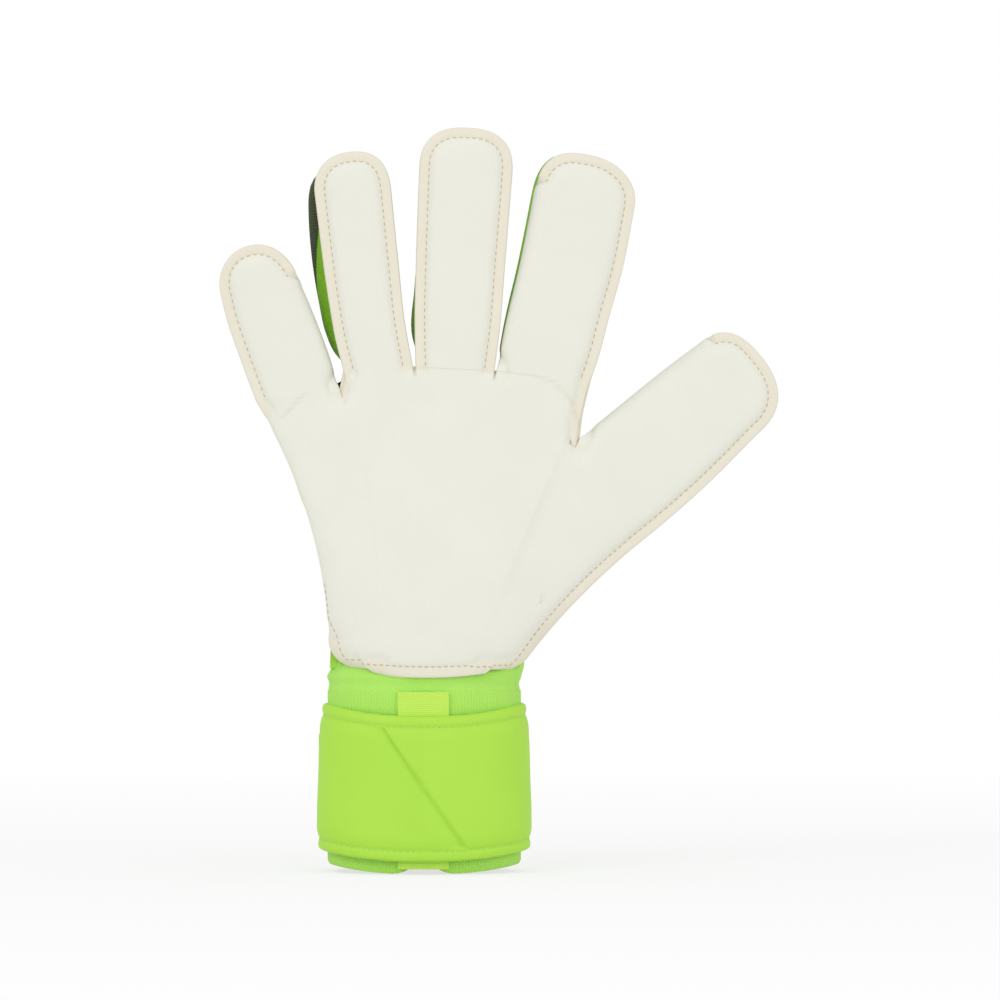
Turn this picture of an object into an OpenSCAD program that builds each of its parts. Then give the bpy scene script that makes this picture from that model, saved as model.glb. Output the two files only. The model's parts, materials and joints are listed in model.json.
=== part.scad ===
// Goalkeeper glove for the right hand, standing on its cuff with the palm facing -Y.
// X runs towards the thumb, Z up the fingers, and the origin is the middle of the wrist opening.
// The foam palm is the stiffest layer, so every finger fold turns on a line in its outer face.

/* [Finger stalls] */
// Length of the index stall from its fold line to the tip
index_len = 85; // [78:1:92]
// Length of the middle stall from its fold line to the tip
middle_len = 90.5; // [82:0.5:98]
// Length of the ring stall from its fold line to the tip
ring_len = 82; // [74:1:90]
// Length of the little stall from its fold line to the tip
little_len = 58.5; // [52:0.5:64]
// Length of the thumb stall from its fold line to the tip
thumb_len = 78; // [70:1:86]
// Width of the index stall across its seams
index_w = 37; // [34:0.5:38]
// Width of the middle stall across its seams
middle_w = 32.5; // [30:0.5:33]
// Width of the ring stall across its seams
ring_w = 29; // [27:0.5:30]
// Width of the little stall across its seams
little_w = 30.5; // [28:0.5:31.5]
// Width of the thumb stall across its seams
thumb_w = 41; // [37:0.5:42]
// Depth of a finger stall from the palm face to the back
stall_depth = 25; // [23:0.5:27]
// How far the stalls curve forward at their tips
tip_curve = 5; // [2:0.5:8]

/* [Palm] */
// Width of the index stall at its fold line
index_root_w = 34; // [32:0.5:34.5]
// Width of the middle stall at its fold line
middle_root_w = 29.5; // [28:0.5:30]
// Width of the ring stall at its fold line
ring_root_w = 26; // [24:0.5:26.5]
// Width of the little stall at its fold line
little_root_w = 31; // [29:0.5:31.5]
// Width of the thumb stall along its fold line
thumb_root_w = 46; // [44:0.5:47]
// Gap between neighbouring stalls at the web
web_gap = 0.9; // [0.6:0.1:1.4]
// Height of the web between ring and middle above the cuff's lower edge
web_z = 190.5; // [186:0.5:196]
// How much lower the web beside the little stall sits than the ring's fold line
little_web_drop = 6.5; // [5:0.5:8]
// Height of the thumb web above the cuff's lower edge
thumb_web_z = 163.5; // [160:0.5:167]
// Width of the palm where it meets the wrist
palm_foot_w = 72; // [68:0.5:76]

/* [Layers] */
// Latex and foam laminate of the palm
latex_t = 6.5; // [5:0.5:8]
// Latex rolled round a stall's side
roll_t = 4; // [3:0.5:5]
// Terry lining behind the palm laminate
lining_t = 0.8; // [0.6:0.1:1.2]
// Padded backhand
back_t = 3.5; // [2.5:0.5:4.5]
// Stretch gusset between palm and backhand
gusset_t = 1.6; // [1.2:0.2:2.2]
// Width of the seam flange that stands outside the stitching
flange_w = 3; // [2:0.5:4]
// Thickness of the seam flange
flange_t = 2.2; // [1.6:0.2:3]
// Gap between two segments at a fold
fold_gap = 0.3; // [0.2:0.1:0.5]

/* [Cuff and strap] */
// Width of the elastic cuff
cuff_w = 73; // [69:0.5:75]
// Depth of the elastic cuff
cuff_d = 45; // [42:0.5:48]
// Height of the elastic cuff
cuff_h = 69; // [66:0.5:70]
// Thickness of the woven elastic
elastic_t = 2; // [1.4:0.2:2.6]
// Width of the slit in the front of the elastic
slit_w = 9; // [6:0.5:12]
// How far the two lobes hang below the slit's foot
lobe_drop = 4; // [2:0.5:6]
// Width of the tab stitched over the slit
tab_w = 18.5; // [16:0.5:22]
// Thickness of the tab over the slit
tab_t = 1.2; // [0.8:0.1:1.6]
// Height of the wrist strap
strap_h = 52; // [46:1:54]
// Thickness of the wrist strap
strap_t = 3.6; // [3:0.2:4.4]
// Height of the strap's lower edge above the cuff's lower edge
strap_z = 8.5; // [7:0.5:10]
// Depth of the diagonal groove across the strap's front
groove_depth = 0.9; // [0.5:0.1:1.3]
// Thickness of the loop patch on the strap's back
loop_t = 1; // [0.8:0.1:1.4]
// Thickness of the hook patch on the closing tab
hook_t = 1.2; // [0.8:0.1:1.6]
// Length of the moulded pull at the end of the closing tab
pull_len = 12; // [8:1:16]
// Clearance between layers that slide or part
slip = 0.3; // [0.2:0.05:0.4]

/* [Hidden] */
FINGERS = ["little", "ring", "middle", "index"];
SEGMENTS = ["proximal", "middle", "tip"];
THUMB_SEGMENTS = ["proximal", "tip"];
LAYERS = ["palm", "back", "gusset"];

// Colours of the materials
LATEX = "#ecece1";
LIME = "#a6e84a";
GUSSET = "#93cf12";
TAB = "#bdf048";

// The palm face of the stalls, and how far the laminate crowns in front of it
face_y = -13;
crown = 0.6;
// Depth of the seam line behind the palm face
seam_d = 4.2;
// How far the gussets bulge outwards
gusset_bulge = 0.8;
// Depth of the gusset strips
gusset_d = 9;
// Length over which a stall's back rounds down to its tip
tip_round = 15;

// ---------------------------------------------------------------- helpers

function lerp(a, b, t) = a + (b - a) * t;
function clamp01(t) = min(1, max(0, t));
function smooth(t) = let (q = clamp01(t)) q * q * (3 - 2 * q);
function arc01(t) = sqrt(1 - pow(clamp01(t), 2));

// A smooth curve through the points p, for t from 0 to 1
function spline(p, t) =
    let (
        n = len(p) - 1,
        i = min(n - 1, floor(clamp01(t) * n)),
        q = clamp01(t) * n - i,
        a = p[max(0, i - 1)],
        b = p[i],
        c = p[i + 1],
        d = p[min(n, i + 2)]
    )
    0.5 * (2 * b + (c - a) * q + (2 * a - 5 * b + 4 * c - d) * q * q
        + (3 * b - a - 3 * c + d) * q * q * q);

// A closed sheet between two grids of points. Columns run anticlockwise seen from above,
// rows run up, and round joins the last column to the first.
module sheet(outer, inner, round = false) {
    rows = len(outer);
    cols = len(outer[0]);
    n = rows * cols;
    spans = round ? cols : cols - 1;
    function at(j, k) = j * cols + k % cols;
    skin = [
        for (j = [0 : rows - 2], k = [0 : spans - 1])
            let (a = at(j, k), b = at(j, k + 1), c = at(j + 1, k + 1), d = at(j + 1, k))
            each [[a, d, c], [a, c, b], [a + n, b + n, c + n], [a + n, c + n, d + n]]
    ];
    feet = [
        for (k = [0 : spans - 1])
            let (a = at(0, k), b = at(0, k + 1), d = at(rows - 1, k), c = at(rows - 1, k + 1))
            each [[a, b, b + n], [a, b + n, a + n], [c, d, d + n], [c, d + n, c + n]]
    ];
    sides = round ? [] : [
        for (j = [0 : rows - 2])
            let (a = at(j, 0), d = at(j + 1, 0), b = at(j, cols - 1), c = at(j + 1, cols - 1))
            each [[d, a, a + n], [d, a + n, d + n], [b, c, c + n], [b, c + n, b + n]]
    ];
    polyhedron(
        points = concat([for (row = outer) each row], [for (row = inner) each row]),
        faces = concat(skin, feet, sides)
    );
}

// ---------------------------------------------------------------- where the stalls stand

// Lean of each stall from upright, and the turn of its fold lines, towards the thumb
little_lean = -15.6;
ring_lean = -7.6;
middle_lean = 2.7;
index_lean = 10.6;
thumb_lean = 50;
little_turn = -8;
ring_turn = -3.6;
middle_turn = 3;
index_turn = 5.5;
thumb_turn = 65;

function along(turn) = [cos(turn), -sin(turn)];

// The ends of the fold lines: webs are shared by two stalls
web_ring_middle = [-3.5, web_z];
web_middle_index = web_ring_middle + (middle_root_w + web_gap) * along(middle_turn);
index_outer = web_middle_index + (index_root_w + web_gap) * along(index_turn);
ring_outer = web_ring_middle - (ring_root_w + web_gap) * along(ring_turn);
web_little_ring = ring_outer - [web_gap, little_web_drop];
little_outer = web_little_ring - (little_root_w + web_gap) * along(little_turn);
thumb_web_point = [58.6, thumb_web_z];
thumb_outer = thumb_web_point + thumb_root_w * along(thumb_turn);

// A stall: [fold line's middle, length, lean, turn, half width at the root and along it,
// is the left side rolled, is the right side rolled, how far the back stands to the side,
// fold positions, end]
function stall(name) =
    name == "little" ? [(little_outer + web_little_ring) / 2, little_len, little_lean, little_turn,
        little_root_w / 2, little_w / 2, false, true, -2, [0, 18, 37]]
    : name == "ring" ? [(ring_outer + web_ring_middle) / 2, ring_len, ring_lean, ring_turn,
        ring_root_w / 2, ring_w / 2, false, false, -3.6, [0, 27, 53]]
    : name == "middle" ? [(web_ring_middle + web_middle_index) / 2, middle_len, middle_lean,
        middle_turn, middle_root_w / 2, middle_w / 2, false, false, -1.6, [0, 30, 58]]
    : name == "index" ? [(web_middle_index + index_outer) / 2, index_len, index_lean, index_turn,
        index_root_w / 2, index_w / 2, true, false, -0.5, [0, 28, 54]]
    : [(thumb_web_point + thumb_outer) / 2, thumb_len, thumb_lean, thumb_turn,
        thumb_root_w / 2 * cos(thumb_lean - thumb_turn), thumb_w / 2, true, false, 1.5, [0, 40]];

// ---------------------------------------------------------------- a stall's shape

// Half width of the outline at a distance s up the stall
function half_w(f, s) =
    let (
        full = lerp(f[4], f[5], smooth(s / 32)),
        round_len = 0.9 * f[5],
        q = (s - (f[1] - round_len)) / round_len
    )
    q <= 0 ? full : full * pow(1 - pow(q * 0.955, 2.4), 1 / 2.4);

// The stall's forward curve, and the place of a point given across, deep and along it
function bow(f, s) = -tip_curve * pow(max(0, s) / f[1], 2);
function place(f, u, y, s) =
    let (
        fade = 1 - smooth((s - last(f[9])) / (f[1] - last(f[9]))),
        t = s + u * tan(f[2] - f[3]) * fade
    )
    [f[0].x + u * cos(f[2]) + t * sin(f[2]), y + bow(f, s), f[0].y - u * sin(f[2]) + t * cos(f[2])];
function last(v) = v[len(v) - 1];

// How much of the full depth is left towards the tip
function tip_depth(f, s, end) = arc01((s - (end - tip_round)) / tip_round);
// The back stands to one side, more so half way up the stall
function lean_off(f, s, y) =
    f[8] * smooth(s / 30) * clamp01((y - face_y - seam_d) / (stall_depth - seam_d));

// Height of the padded face over the flange, from 0 at the tip's flange to 1
function pad(f, s) = smooth((f[1] - flange_w - s) / 3.2);

// Across the palm face: each point is [across, deep], and side is -1 on the left, 1 on the right.
// wall is the layer that stands behind the seam
function flanged(w, side, wall, h, inside) =
    inside
        ? [[side * w, seam_y], [side * (w - flange_w - wall), seam_y],
            [side * (w - flange_w - wall - 0.8), lerp(seam_y, face_y + latex_t, h)],
            [side * (w - flange_w - wall - 2.5), lerp(seam_y, face_y + latex_t, h)]]
        : [[side * w, seam_y - flange_t], [side * (w - flange_w), seam_y - flange_t],
            [side * (w - flange_w - 1.3), lerp(seam_y - flange_t, face_y + 0.5, h)],
            [side * (w - flange_w - 3.8), lerp(seam_y - flange_t, face_y, h)]];
function rolled(w, side, deep, h, inside) =
    let (end_y = lerp(seam_y, seam_y + gusset_d, deep))
    inside
        ? [[side * (w - roll_t - 0.4), end_y], [side * (w - roll_t), lerp(seam_y, end_y, 0.45)],
            [side * (w - roll_t - 1), lerp(seam_y, face_y + latex_t + 0.6, h)],
            [side * (w - roll_t - 4), lerp(seam_y, face_y + latex_t, h)]]
        : [[side * (w - 0.6), end_y], [side * w, lerp(seam_y, end_y, 0.45)],
            [side * (w - 1), lerp(seam_y - flange_t, face_y + 2.8, h)],
            [side * (w - 4.4), lerp(seam_y - flange_t, face_y + 0.1, h)]];
seam_y = face_y + seam_d;

function reversed(v) = [for (i = [len(v) - 1 : -1 : 0]) v[i]];
// The laminate's section: depth y is the share of the gusset's depth that is left
function palm_section(f, s, inside) =
    let (
        w = half_w(f, s),
        h = pad(f, s),
        deep = tip_depth(f, s, f[1] - flange_w),
        y = inside ? lerp(seam_y, face_y + latex_t, h) : lerp(seam_y - flange_t, face_y - crown, h),
        left = f[6] ? rolled(w, -1, deep, h, inside) : flanged(w, -1, gusset_t, h, inside),
        right = f[7] ? rolled(w, 1, deep, h, inside) : flanged(w, 1, gusset_t, h, inside)
    )
    concat(left, [[-w * 0.3, y], [w * 0.3, y]], reversed(right));

// The back's section from the right seam round to the left one
function back_section(f, s, inside) =
    let (
        end = f[1] - flange_w,
        deep = tip_depth(f, s, end),
        w = half_w(f, s),
        left = w - (f[6] ? 0.6 : flange_w),
        right = w - (f[7] ? 0.6 : flange_w),
        wall = inside ? back_t : 0,
        foot = lerp(seam_y, seam_y + gusset_d, deep),
        rise = max(0.05, (stall_depth - seam_d - gusset_d) * deep - wall)
    )
    [for (k = [0 : 8])
        let (q = 180 * k / 8, c = cos(q), v = sin(q))
        [sign(c) * pow(abs(c), 0.8) * ((c > 0 ? right : left) - wall), foot + rise * pow(v, 0.8)]];

// One gusset strip on a side, from its front edge to its back edge
function gusset_section(f, s, side, inside) =
    let (
        deep = tip_depth(f, s, f[1] - flange_w),
        w = half_w(f, s) - flange_w - (inside ? gusset_t : 0),
        reach = gusset_d * max(0.1, deep)
    )
    [[side * w, seam_y], [side * (w + gusset_bulge), seam_y + reach / 2], [side * w, seam_y + reach]];

// Stations up a stall for a segment; the tip has more
function stations(f, i) =
    let (from = f[9][i] + fold_gap / 2, final = i == len(f[9]) - 1, to = final ? f[1] : f[9][i + 1])
    final
        ? let (bend = f[1] - flange_w - 4)
            concat([for (q = [0 : 0.2 : 0.999]) lerp(from, bend, 1 - pow(1 - q, 1.4))],
                [bend, f[1] - flange_w - 1.6, f[1] - flange_w, f[1]])
        : [for (q = [0 : 0.34 : 1.1]) lerp(from, to - fold_gap / 2, min(1, q))];

function grid(f, ss, side, inside) = [
    for (s = ss) [
        for (p = side == 0 ? palm_section(f, s, inside)
            : side == 2 ? back_section(f, s, inside) : gusset_section(f, s, side, inside))
            place(f, p.x + lean_off(f, s, p.y), p.y, s)]];

// The palm laminate of a stall's segment
module stall_palm(name, i) {
    f = stall(name);
    ss = stations(f, i);
    color(LATEX) sheet(grid(f, ss, 0, false), grid(f, ss, 0, true));
}

// The padded back of a stall's segment; its lining stops short of the tip
module stall_back(name, i) {
    f = stall(name);
    final = i == len(f[9]) - 1;
    all_s = stations(f, i);
    end = f[1] - flange_w;
    ss = [for (s = all_s) if (s <= end) s];
    inner_s = final ? [for (s = ss) lerp(ss[0], end - back_t, (s - ss[0]) / (end - ss[0]))] : ss;
    feet = grid(f, ss, 2, true);
    crowns = grid(f, inner_s, 2, true);
    inner = [for (j = [0 : len(ss) - 1])
        [for (k = [0 : 8]) k == 0 || k == 8 ? feet[j][k] : crowns[j][k]]];
    color(LIME) sheet(grid(f, ss, 2, false), inner);
}

// The gusset strips on the flanged sides of a stall's segment
module stall_gusset(name, i) {
    f = stall(name);
    ss = [for (s = stations(f, i)) if (s < f[1] - flange_w - 1) s];
    color(GUSSET) {
        if (!f[6]) sheet(
            [for (row = grid(f, ss, -1, false)) reversed(row)],
            [for (row = grid(f, ss, -1, true)) reversed(row)]);
        if (!f[7]) sheet(grid(f, ss, 1, false), grid(f, ss, 1, true));
    }
}

// ---------------------------------------------------------------- the hand

ALL_STALLS = concat(FINGERS, ["thumb"]);
foot_z = cuff_h + 8;
// How far the palm and the back stand out where they meet the wrist
foot_bulge = cuff_d / 2 + face_y;
// How far the hand's outline draws in below the little finger and below the thumb
left_waist = 7.7;
right_waist = 2.5;
hand_steps = [0, 0.2, 0.4, 0.6, 0.75, 0.86, 0.94, 1];
// Where the hollows between the stalls start to show on the palm and the back
valley_from = 0.72;

// Points down the edge between the index stall and the thumb
function web_edge(y, inset) = [
    for (q = [0.3, 0.65]) let (p = lerp(index_outer, thumb_web_point, q))
        [p.x - inset - 6 * q * (1 - q), y, p.y]];

// The palm's edge along the fold lines, from the little finger to the thumb
function root_section(f, inside) =
    let (w = f[4], y = inside ? face_y + latex_t : face_y - crown)
    concat(flanged(w, -1, back_t, 1, inside), [[-w * 0.3, y], [w * 0.3, y]],
        reversed(flanged(w, 1, back_t, 1, inside)));
function palm_top(inside) = [
    for (name = ALL_STALLS) let (f = stall(name))
        each concat(
            name == "thumb" ? web_edge(seam_y - (inside ? 0 : flange_t), 0) : [],
            [for (p = root_section(f, inside)) place(f, p.x, p.y, -fold_gap / 2)])];

// The palm's edge at the wrist, with as many points as its top edge
function palm_foot(inside) =
    let (
        w = palm_foot_w / 2,
        n = len(palm_top(inside)),
        y = inside ? face_y + latex_t : face_y - crown,
        left = flanged(w, -1, back_t, 1, inside),
        middle = [for (k = [4 : n - 5]) [lerp(-w + 10, w - 10, (k - 4) / (n - 9)), y]],
        right = reversed(flanged(w, 1, back_t, 1, inside))
    )
    [for (p = concat(left, middle, right))
        [p.x, p.y - foot_bulge * sqrt(max(0, 1 - pow(p.x / (w - flange_w), 2))), foot_z]];

// Rows from the wrist edge up to the fold lines. Away from the edges the hollows between
// the stalls fade to the plain depth y, and the outline draws in at the waist.
function hand_rows(low, high, y, left_in, right_in, edge) =
    let (n = len(high))
    [for (t = hand_steps) [
        for (k = [0 : n - 1])
            let (
                u = k / (n - 1),
                waist = 4 * t * (1 - t) * lerp(left_in, -right_in, u),
                plain = k < edge || k > n - 1 - edge ? high[k].y : y,
                top_y = lerp(plain, high[k].y, smooth((t - valley_from) / (1 - valley_from)))
            )
            [lerp(low[k].x, high[k].x, t) + waist, lerp(low[k].y, top_y, t),
                lerp(low[k].z, high[k].z, t)]]];
function palm_grid(inside) = hand_rows(palm_foot(inside), palm_top(inside),
    inside ? face_y + latex_t : face_y - crown, left_waist, right_waist, 3);

module palm_latex() {
    color(LATEX) sheet(palm_grid(false), palm_grid(true));
}

// Terry lining on the inner face of the palm laminate, clear of its seams
module palm_lining() {
    near = palm_grid(true);
    n = len(near[0]);
    face = [for (j = [1 : len(near) - 3]) [for (k = [4 : n - 5]) near[j][k] + [0, slip / 3, 0]]];
    color("#f4f4ee") sheet(face, [for (row = face) [for (p = row) p + [0, lining_t, 0]]]);
}

// The back's edge along the fold lines, from the thumb to the little finger
function back_top_section(f, inside) =
    let (
        wall = inside ? back_t : 0,
        left = f[4] - (f[6] ? 0.6 : flange_w) - (f == stall("little") ? wall : 0),
        right = f[4] - (f[7] ? 0.6 : flange_w) - (f == stall("thumb") ? wall : 0),
        foot = seam_y + gusset_d + back_t - wall,
        rise = face_y + stall_depth - wall - foot
    )
    [for (k = [0 : 8])
        let (q = 180 * k / 8, c = cos(q))
        [sign(c) * pow(abs(c), 0.8) * (c > 0 ? right : left), foot + rise * pow(sin(q), 0.8)]];
// The two points that bring the panel forward to the seam beyond a stall's outer side
function side_points(f, side, inside) =
    let (x = side * (f[4] - flange_w - (inside ? back_t : 0)))
    [[x, seam_y], [x + side * 0.5, seam_y + gusset_d * 0.6]];
function back_top(inside) = [
    for (name = reversed(ALL_STALLS)) let (f = stall(name))
        each concat(
            [for (p = concat(
                name == "thumb" ? side_points(f, 1, inside) : [],
                back_top_section(f, inside),
                name == "little" ? reversed(side_points(f, -1, inside)) : []))
                place(f, p.x, p.y, -fold_gap / 2)],
            name == "thumb"
                ? reversed(web_edge(seam_y + gusset_d + (inside ? 0 : back_t), flange_w)) : [])];
function back_foot(inside) =
    let (n = len(back_top(inside)), wall = inside ? back_t : 0)
    [for (k = [0 : n - 1])
        let (q = 180 * k / (n - 1), c = cos(q))
        [sign(c) * pow(abs(c), 0.85) * (palm_foot_w / 2 - 0.5 - wall),
            seam_y + (cuff_d / 2 - seam_y - wall) * pow(sin(q), 0.85), foot_z]];
function back_grid(inside) = hand_rows(back_foot(inside), back_top(inside),
    face_y + stall_depth - (inside ? back_t : 0), -right_waist, -left_waist, 6);

module backhand_panel() {
    color(LIME) sheet(back_grid(false), back_grid(true));
}

// The webs stand between the lining in front and the backhand behind
web_front = seam_y + lining_t + 2 * slip;
web_d = gusset_d - lining_t - 3 * slip;

// Saddles between the roots of the fingers, hollowed on a round line
module finger_web() {
    web_h = 4.5;
    web_w = 2 * flange_w + web_gap;
    color(GUSSET)
        for (w = [[web_little_ring, ring_turn], [web_ring_middle, 0], [web_middle_index, middle_turn]])
            translate([w[0].x + web_gap / 2, web_front, w[0].y - fold_gap]) rotate([0, w[1], 0])
                difference() {
                    translate([-web_w / 2, 0, -web_h]) cube([web_w, web_d, web_h]);
                    translate([0, -1, 1.2]) rotate([-90, 0, 0]) cylinder(r = 2.8, h = web_d + 2, $fn = 32);
                }
}

// The gusset between the index stall and the thumb
module thumb_web() {
    steps = [0.04, 0.25, 0.5, 0.75, 0.93];
    function edge(q, v, inset) =
        let (p = lerp(index_outer, thumb_web_point, q))
        [p.x - flange_w - inset - 6 * q * (1 - q) + gusset_bulge * sin(180 * v),
            web_front + web_d * v, p.y];
    function strip(inset) = [for (q = reversed(steps)) [for (v = [0, 0.5, 1]) edge(q, v, inset)]];
    color(GUSSET) sheet(strip(0), strip(gusset_t));
}

// ---------------------------------------------------------------- the cuff

// A point on the wrist's rounded outline, from the front's middle towards the thumb
function wrist(a, half_x, half_y, z) =
    [half_x * sign(sin(a)) * pow(abs(sin(a)), 0.85),
        -half_y * sign(cos(a)) * pow(abs(cos(a)), 0.85), z];
ring_angles = [for (a = [0 : 10 : 350]) a];
cuff_x = cuff_w / 2;
cuff_y = cuff_d / 2;
yoke_t = 1.8;

// Knit yoke between the hand and the elastic, drawn in at its middle
module cuff_yoke() {
    heights = [cuff_h, lerp(cuff_h, foot_z, 0.5), foot_z];
    function draw_in(z) = z == heights[1] ? 0.8 : 0.3;
    function rings(wall) = [for (z = heights) [for (a = ring_angles)
        wrist(a, cuff_x - draw_in(z) - wall, cuff_y - draw_in(z) - wall, z)]];
    color(LIME) sheet(rings(0), rings(yoke_t), round = true);
}

// Woven elastic, open down the front, with its lower corners rounded into two lobes
slit_angle = asin(pow(slit_w / 2 / cuff_x, 1 / 0.85));
module wrist_elastic() {
    lobe = [0, 0.12, 0.3, 0.6, 1];
    reach = 12;
    near = [for (q = lobe) slit_angle + reach * q];
    angles = concat(near, [for (a = [slit_angle + 22 : 10 : 336]) a],
        [for (a = reversed(near)) 360 - a]);
    function foot(a) =
        let (q = (min(a, 360 - a) - slit_angle) / reach)
        lobe_drop * (1 - arc01(1 - clamp01(q)));
    function rings(wall) = [for (q = [0, 0.2, 1]) [for (a = angles)
        wrist(a, cuff_x - wall, cuff_y - wall, lerp(foot(a), cuff_h, q))]];
    color("#c5ee5f") sheet(rings(0), rings(elastic_t));
}

// Tab stitched over the slit
module front_tab() {
    half = asin(pow(tab_w / 2 / cuff_x, 1 / 0.85));
    function face(out) = [for (z = [lobe_drop / 2, cuff_h / 2, cuff_h - 1])
        [for (q = [-1 : 0.5 : 1]) wrist(half * q, cuff_x + out, cuff_y + out, z)]];
    color(TAB) sheet(face(slip + tab_t), face(slip));
}

// ---------------------------------------------------------------- the strap

strap_x = cuff_x + slip;
strap_y = cuff_y + tab_t + 2 * slip;
// The groove runs down the front towards the thumb, this many degrees for each millimetre
groove_slant = 0.85;

module strap_band() {
    groove = [0, 2.5, 5, 12, 22, 34, 48, 62, 76];
    angles = concat(groove, [for (a = [90 : 12 : 270]) a],
        [for (a = reversed(groove)) if (a > 0) 360 - a]);
    function from_front(a) = a > 180 ? a - 360 : a;
    function top_rise(a) = 3 * (1 - cos(2 * min(90, abs(from_front(a))))) / 2;
    function angle(a, z) =
        let (f = from_front(a), fade = 1 - smooth((abs(f) - 20) / 60))
        f + (strap_z + strap_h / 2 - z) * groove_slant * fade;
    function rings(out, cut) = [for (q = [0, 0.25, 0.5, 0.75, 1]) [for (a = angles)
        let (
            z = strap_z + q * (strap_h + top_rise(a)),
            o = out - (a == 0 ? cut : 0) - (q == 0 || q == 1 ? out * 0.25 : 0)
        )
        wrist(angle(a, z), strap_x + o, strap_y + o, z)]];
    color(LIME) sheet(rings(strap_t, groove_depth), rings(0, 0), round = true);
}

// Points over the strap's outer face: each stop is an angle and a distance out from the face
function strap_face(stops, margin) = [
    for (q = [0, 0.5, 1]) [
        for (stop = stops)
            wrist(stop[0], strap_x + strap_t + stop[1], strap_y + strap_t + stop[1],
                strap_z + margin + q * (strap_h - 2 * margin))]];
module strap_plate(from, to, near, far, margin) {
    angles = [for (q = [0 : 0.125 : 1]) lerp(from, to, q)];
    sheet(strap_face([for (a = angles) [a, far]], margin),
        strap_face([for (a = angles) [a, near]], margin));
}
// Distances out from the band's face to each layer of the closure
loop_face = slip + loop_t;
hook_back = loop_face + slip;
tab_back = hook_back + hook_t + slip;
closing_t = 2.6;
tab_margin = 6;
// Angles where the closing tab is rooted and where its pull begins
tab_root = 128;
tab_end = 222;

module loop_patch() {
    color("#86b93a") strap_plate(146, 227, slip, loop_face, tab_margin + 1);
}

module hook_patch() {
    color("#5f6a4a") strap_plate(150, tab_end - 3, hook_back, hook_back + hook_t, tab_margin + 3);
}

// The closing tab, with a root that tapers down to the band where it turns
module strap_tab() {
    root_to = tab_root + 8;
    angles = concat([tab_root, root_to, root_to + 0.5],
        [for (q = [0.125 : 0.125 : 1]) lerp(root_to, tab_end, q)]);
    far = tab_back + closing_t;
    color(LIME) sheet(
        strap_face([for (a = angles) [a, a == tab_root ? slip + 1 : far]], tab_margin),
        strap_face([for (a = angles) [a, a > root_to ? tab_back : slip]], tab_margin));
}

module strap_pull() {
    pull_angle = pull_len / (strap_x + strap_t) * 180 / PI;
    gap_angle = slip / strap_x * 180 / PI;
    color("#7fc52e") strap_plate(tab_end + gap_angle, tab_end + gap_angle + pull_angle,
        hook_back + 0.4, tab_back + closing_t + 0.4, tab_margin + 2);
}

// ---------------------------------------------------------------- the nodes

module stall_part(name, layer, i) {
    if (layer == "palm") stall_palm(name, i);
    if (layer == "back") stall_back(name, i);
    if (layer == "gusset") stall_gusset(name, i);
}
for (name = FINGERS, layer = LAYERS, i = [0 : 2])
    stall_part(name, layer, i);
for (layer = LAYERS, i = [0 : 1])
    stall_part("thumb", layer, i);
palm_latex();
palm_lining();
backhand_panel();
finger_web();
thumb_web();
cuff_yoke();
wrist_elastic();
front_tab();
strap_band();
loop_patch();
hook_patch();
strap_tab();
strap_pull();
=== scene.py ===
import json
import math

import bmesh
import bpy
import numpy as np
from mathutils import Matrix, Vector

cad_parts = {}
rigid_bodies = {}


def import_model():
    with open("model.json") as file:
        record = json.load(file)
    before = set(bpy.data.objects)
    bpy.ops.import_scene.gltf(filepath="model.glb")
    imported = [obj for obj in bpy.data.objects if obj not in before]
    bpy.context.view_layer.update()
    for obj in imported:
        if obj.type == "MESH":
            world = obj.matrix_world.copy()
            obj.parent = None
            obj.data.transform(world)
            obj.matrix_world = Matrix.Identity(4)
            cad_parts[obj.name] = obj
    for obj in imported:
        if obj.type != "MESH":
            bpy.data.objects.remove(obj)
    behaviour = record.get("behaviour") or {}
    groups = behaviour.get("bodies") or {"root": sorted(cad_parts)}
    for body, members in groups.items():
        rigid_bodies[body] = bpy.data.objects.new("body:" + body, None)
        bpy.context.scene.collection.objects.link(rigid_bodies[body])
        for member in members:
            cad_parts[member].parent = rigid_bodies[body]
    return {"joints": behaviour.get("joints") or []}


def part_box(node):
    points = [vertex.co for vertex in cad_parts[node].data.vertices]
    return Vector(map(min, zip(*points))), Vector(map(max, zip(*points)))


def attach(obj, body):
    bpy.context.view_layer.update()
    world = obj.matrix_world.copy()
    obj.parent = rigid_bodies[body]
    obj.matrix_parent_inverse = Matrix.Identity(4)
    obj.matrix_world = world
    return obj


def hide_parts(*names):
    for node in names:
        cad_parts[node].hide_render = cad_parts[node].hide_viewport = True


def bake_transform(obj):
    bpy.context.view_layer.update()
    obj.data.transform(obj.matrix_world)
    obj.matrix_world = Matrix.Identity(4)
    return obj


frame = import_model()

bl_info = {
    "name": "Goalkeeper glove",
    "version": (1, 0, 0),
    "blender": (4, 2, 0),
    "location": "View3D > Sidebar > Glove",
    "description": "Dresses the glove's frame in latex, padded fabric, elastic and thread",
    "category": "Object",
}

# Lengths here are millimetres in the row frame: X towards the thumb, -Y out of the palm, Z up the fingers.
MM = 0.001
FINGERS = ["little", "ring", "middle", "index"]
SEGMENTS = ["proximal", "middle", "tip"]

# Depths, as places along Y
FACE_Y = -13.6  # the latex's padded face
SEAM_Y = -8.8  # the seams that join the latex to the gussets
BACK_Y = 12.0  # the outside of a padded back
LATEX_T = 6.5
GUSSET_D = 9.0  # depth of a gusset strip
GUSSET_T = 1.4
BACK_T = 3.5
FLANGE_W = 3.0
TIP_ROUND = 15.0  # length over which a stall's back rounds down to its tip
BLEND = 16.0  # length from where a fold's bend starts to where it ends
TIP_BOW = 5.0  # how far a stall's tip leans out of the palm's plane

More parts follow.
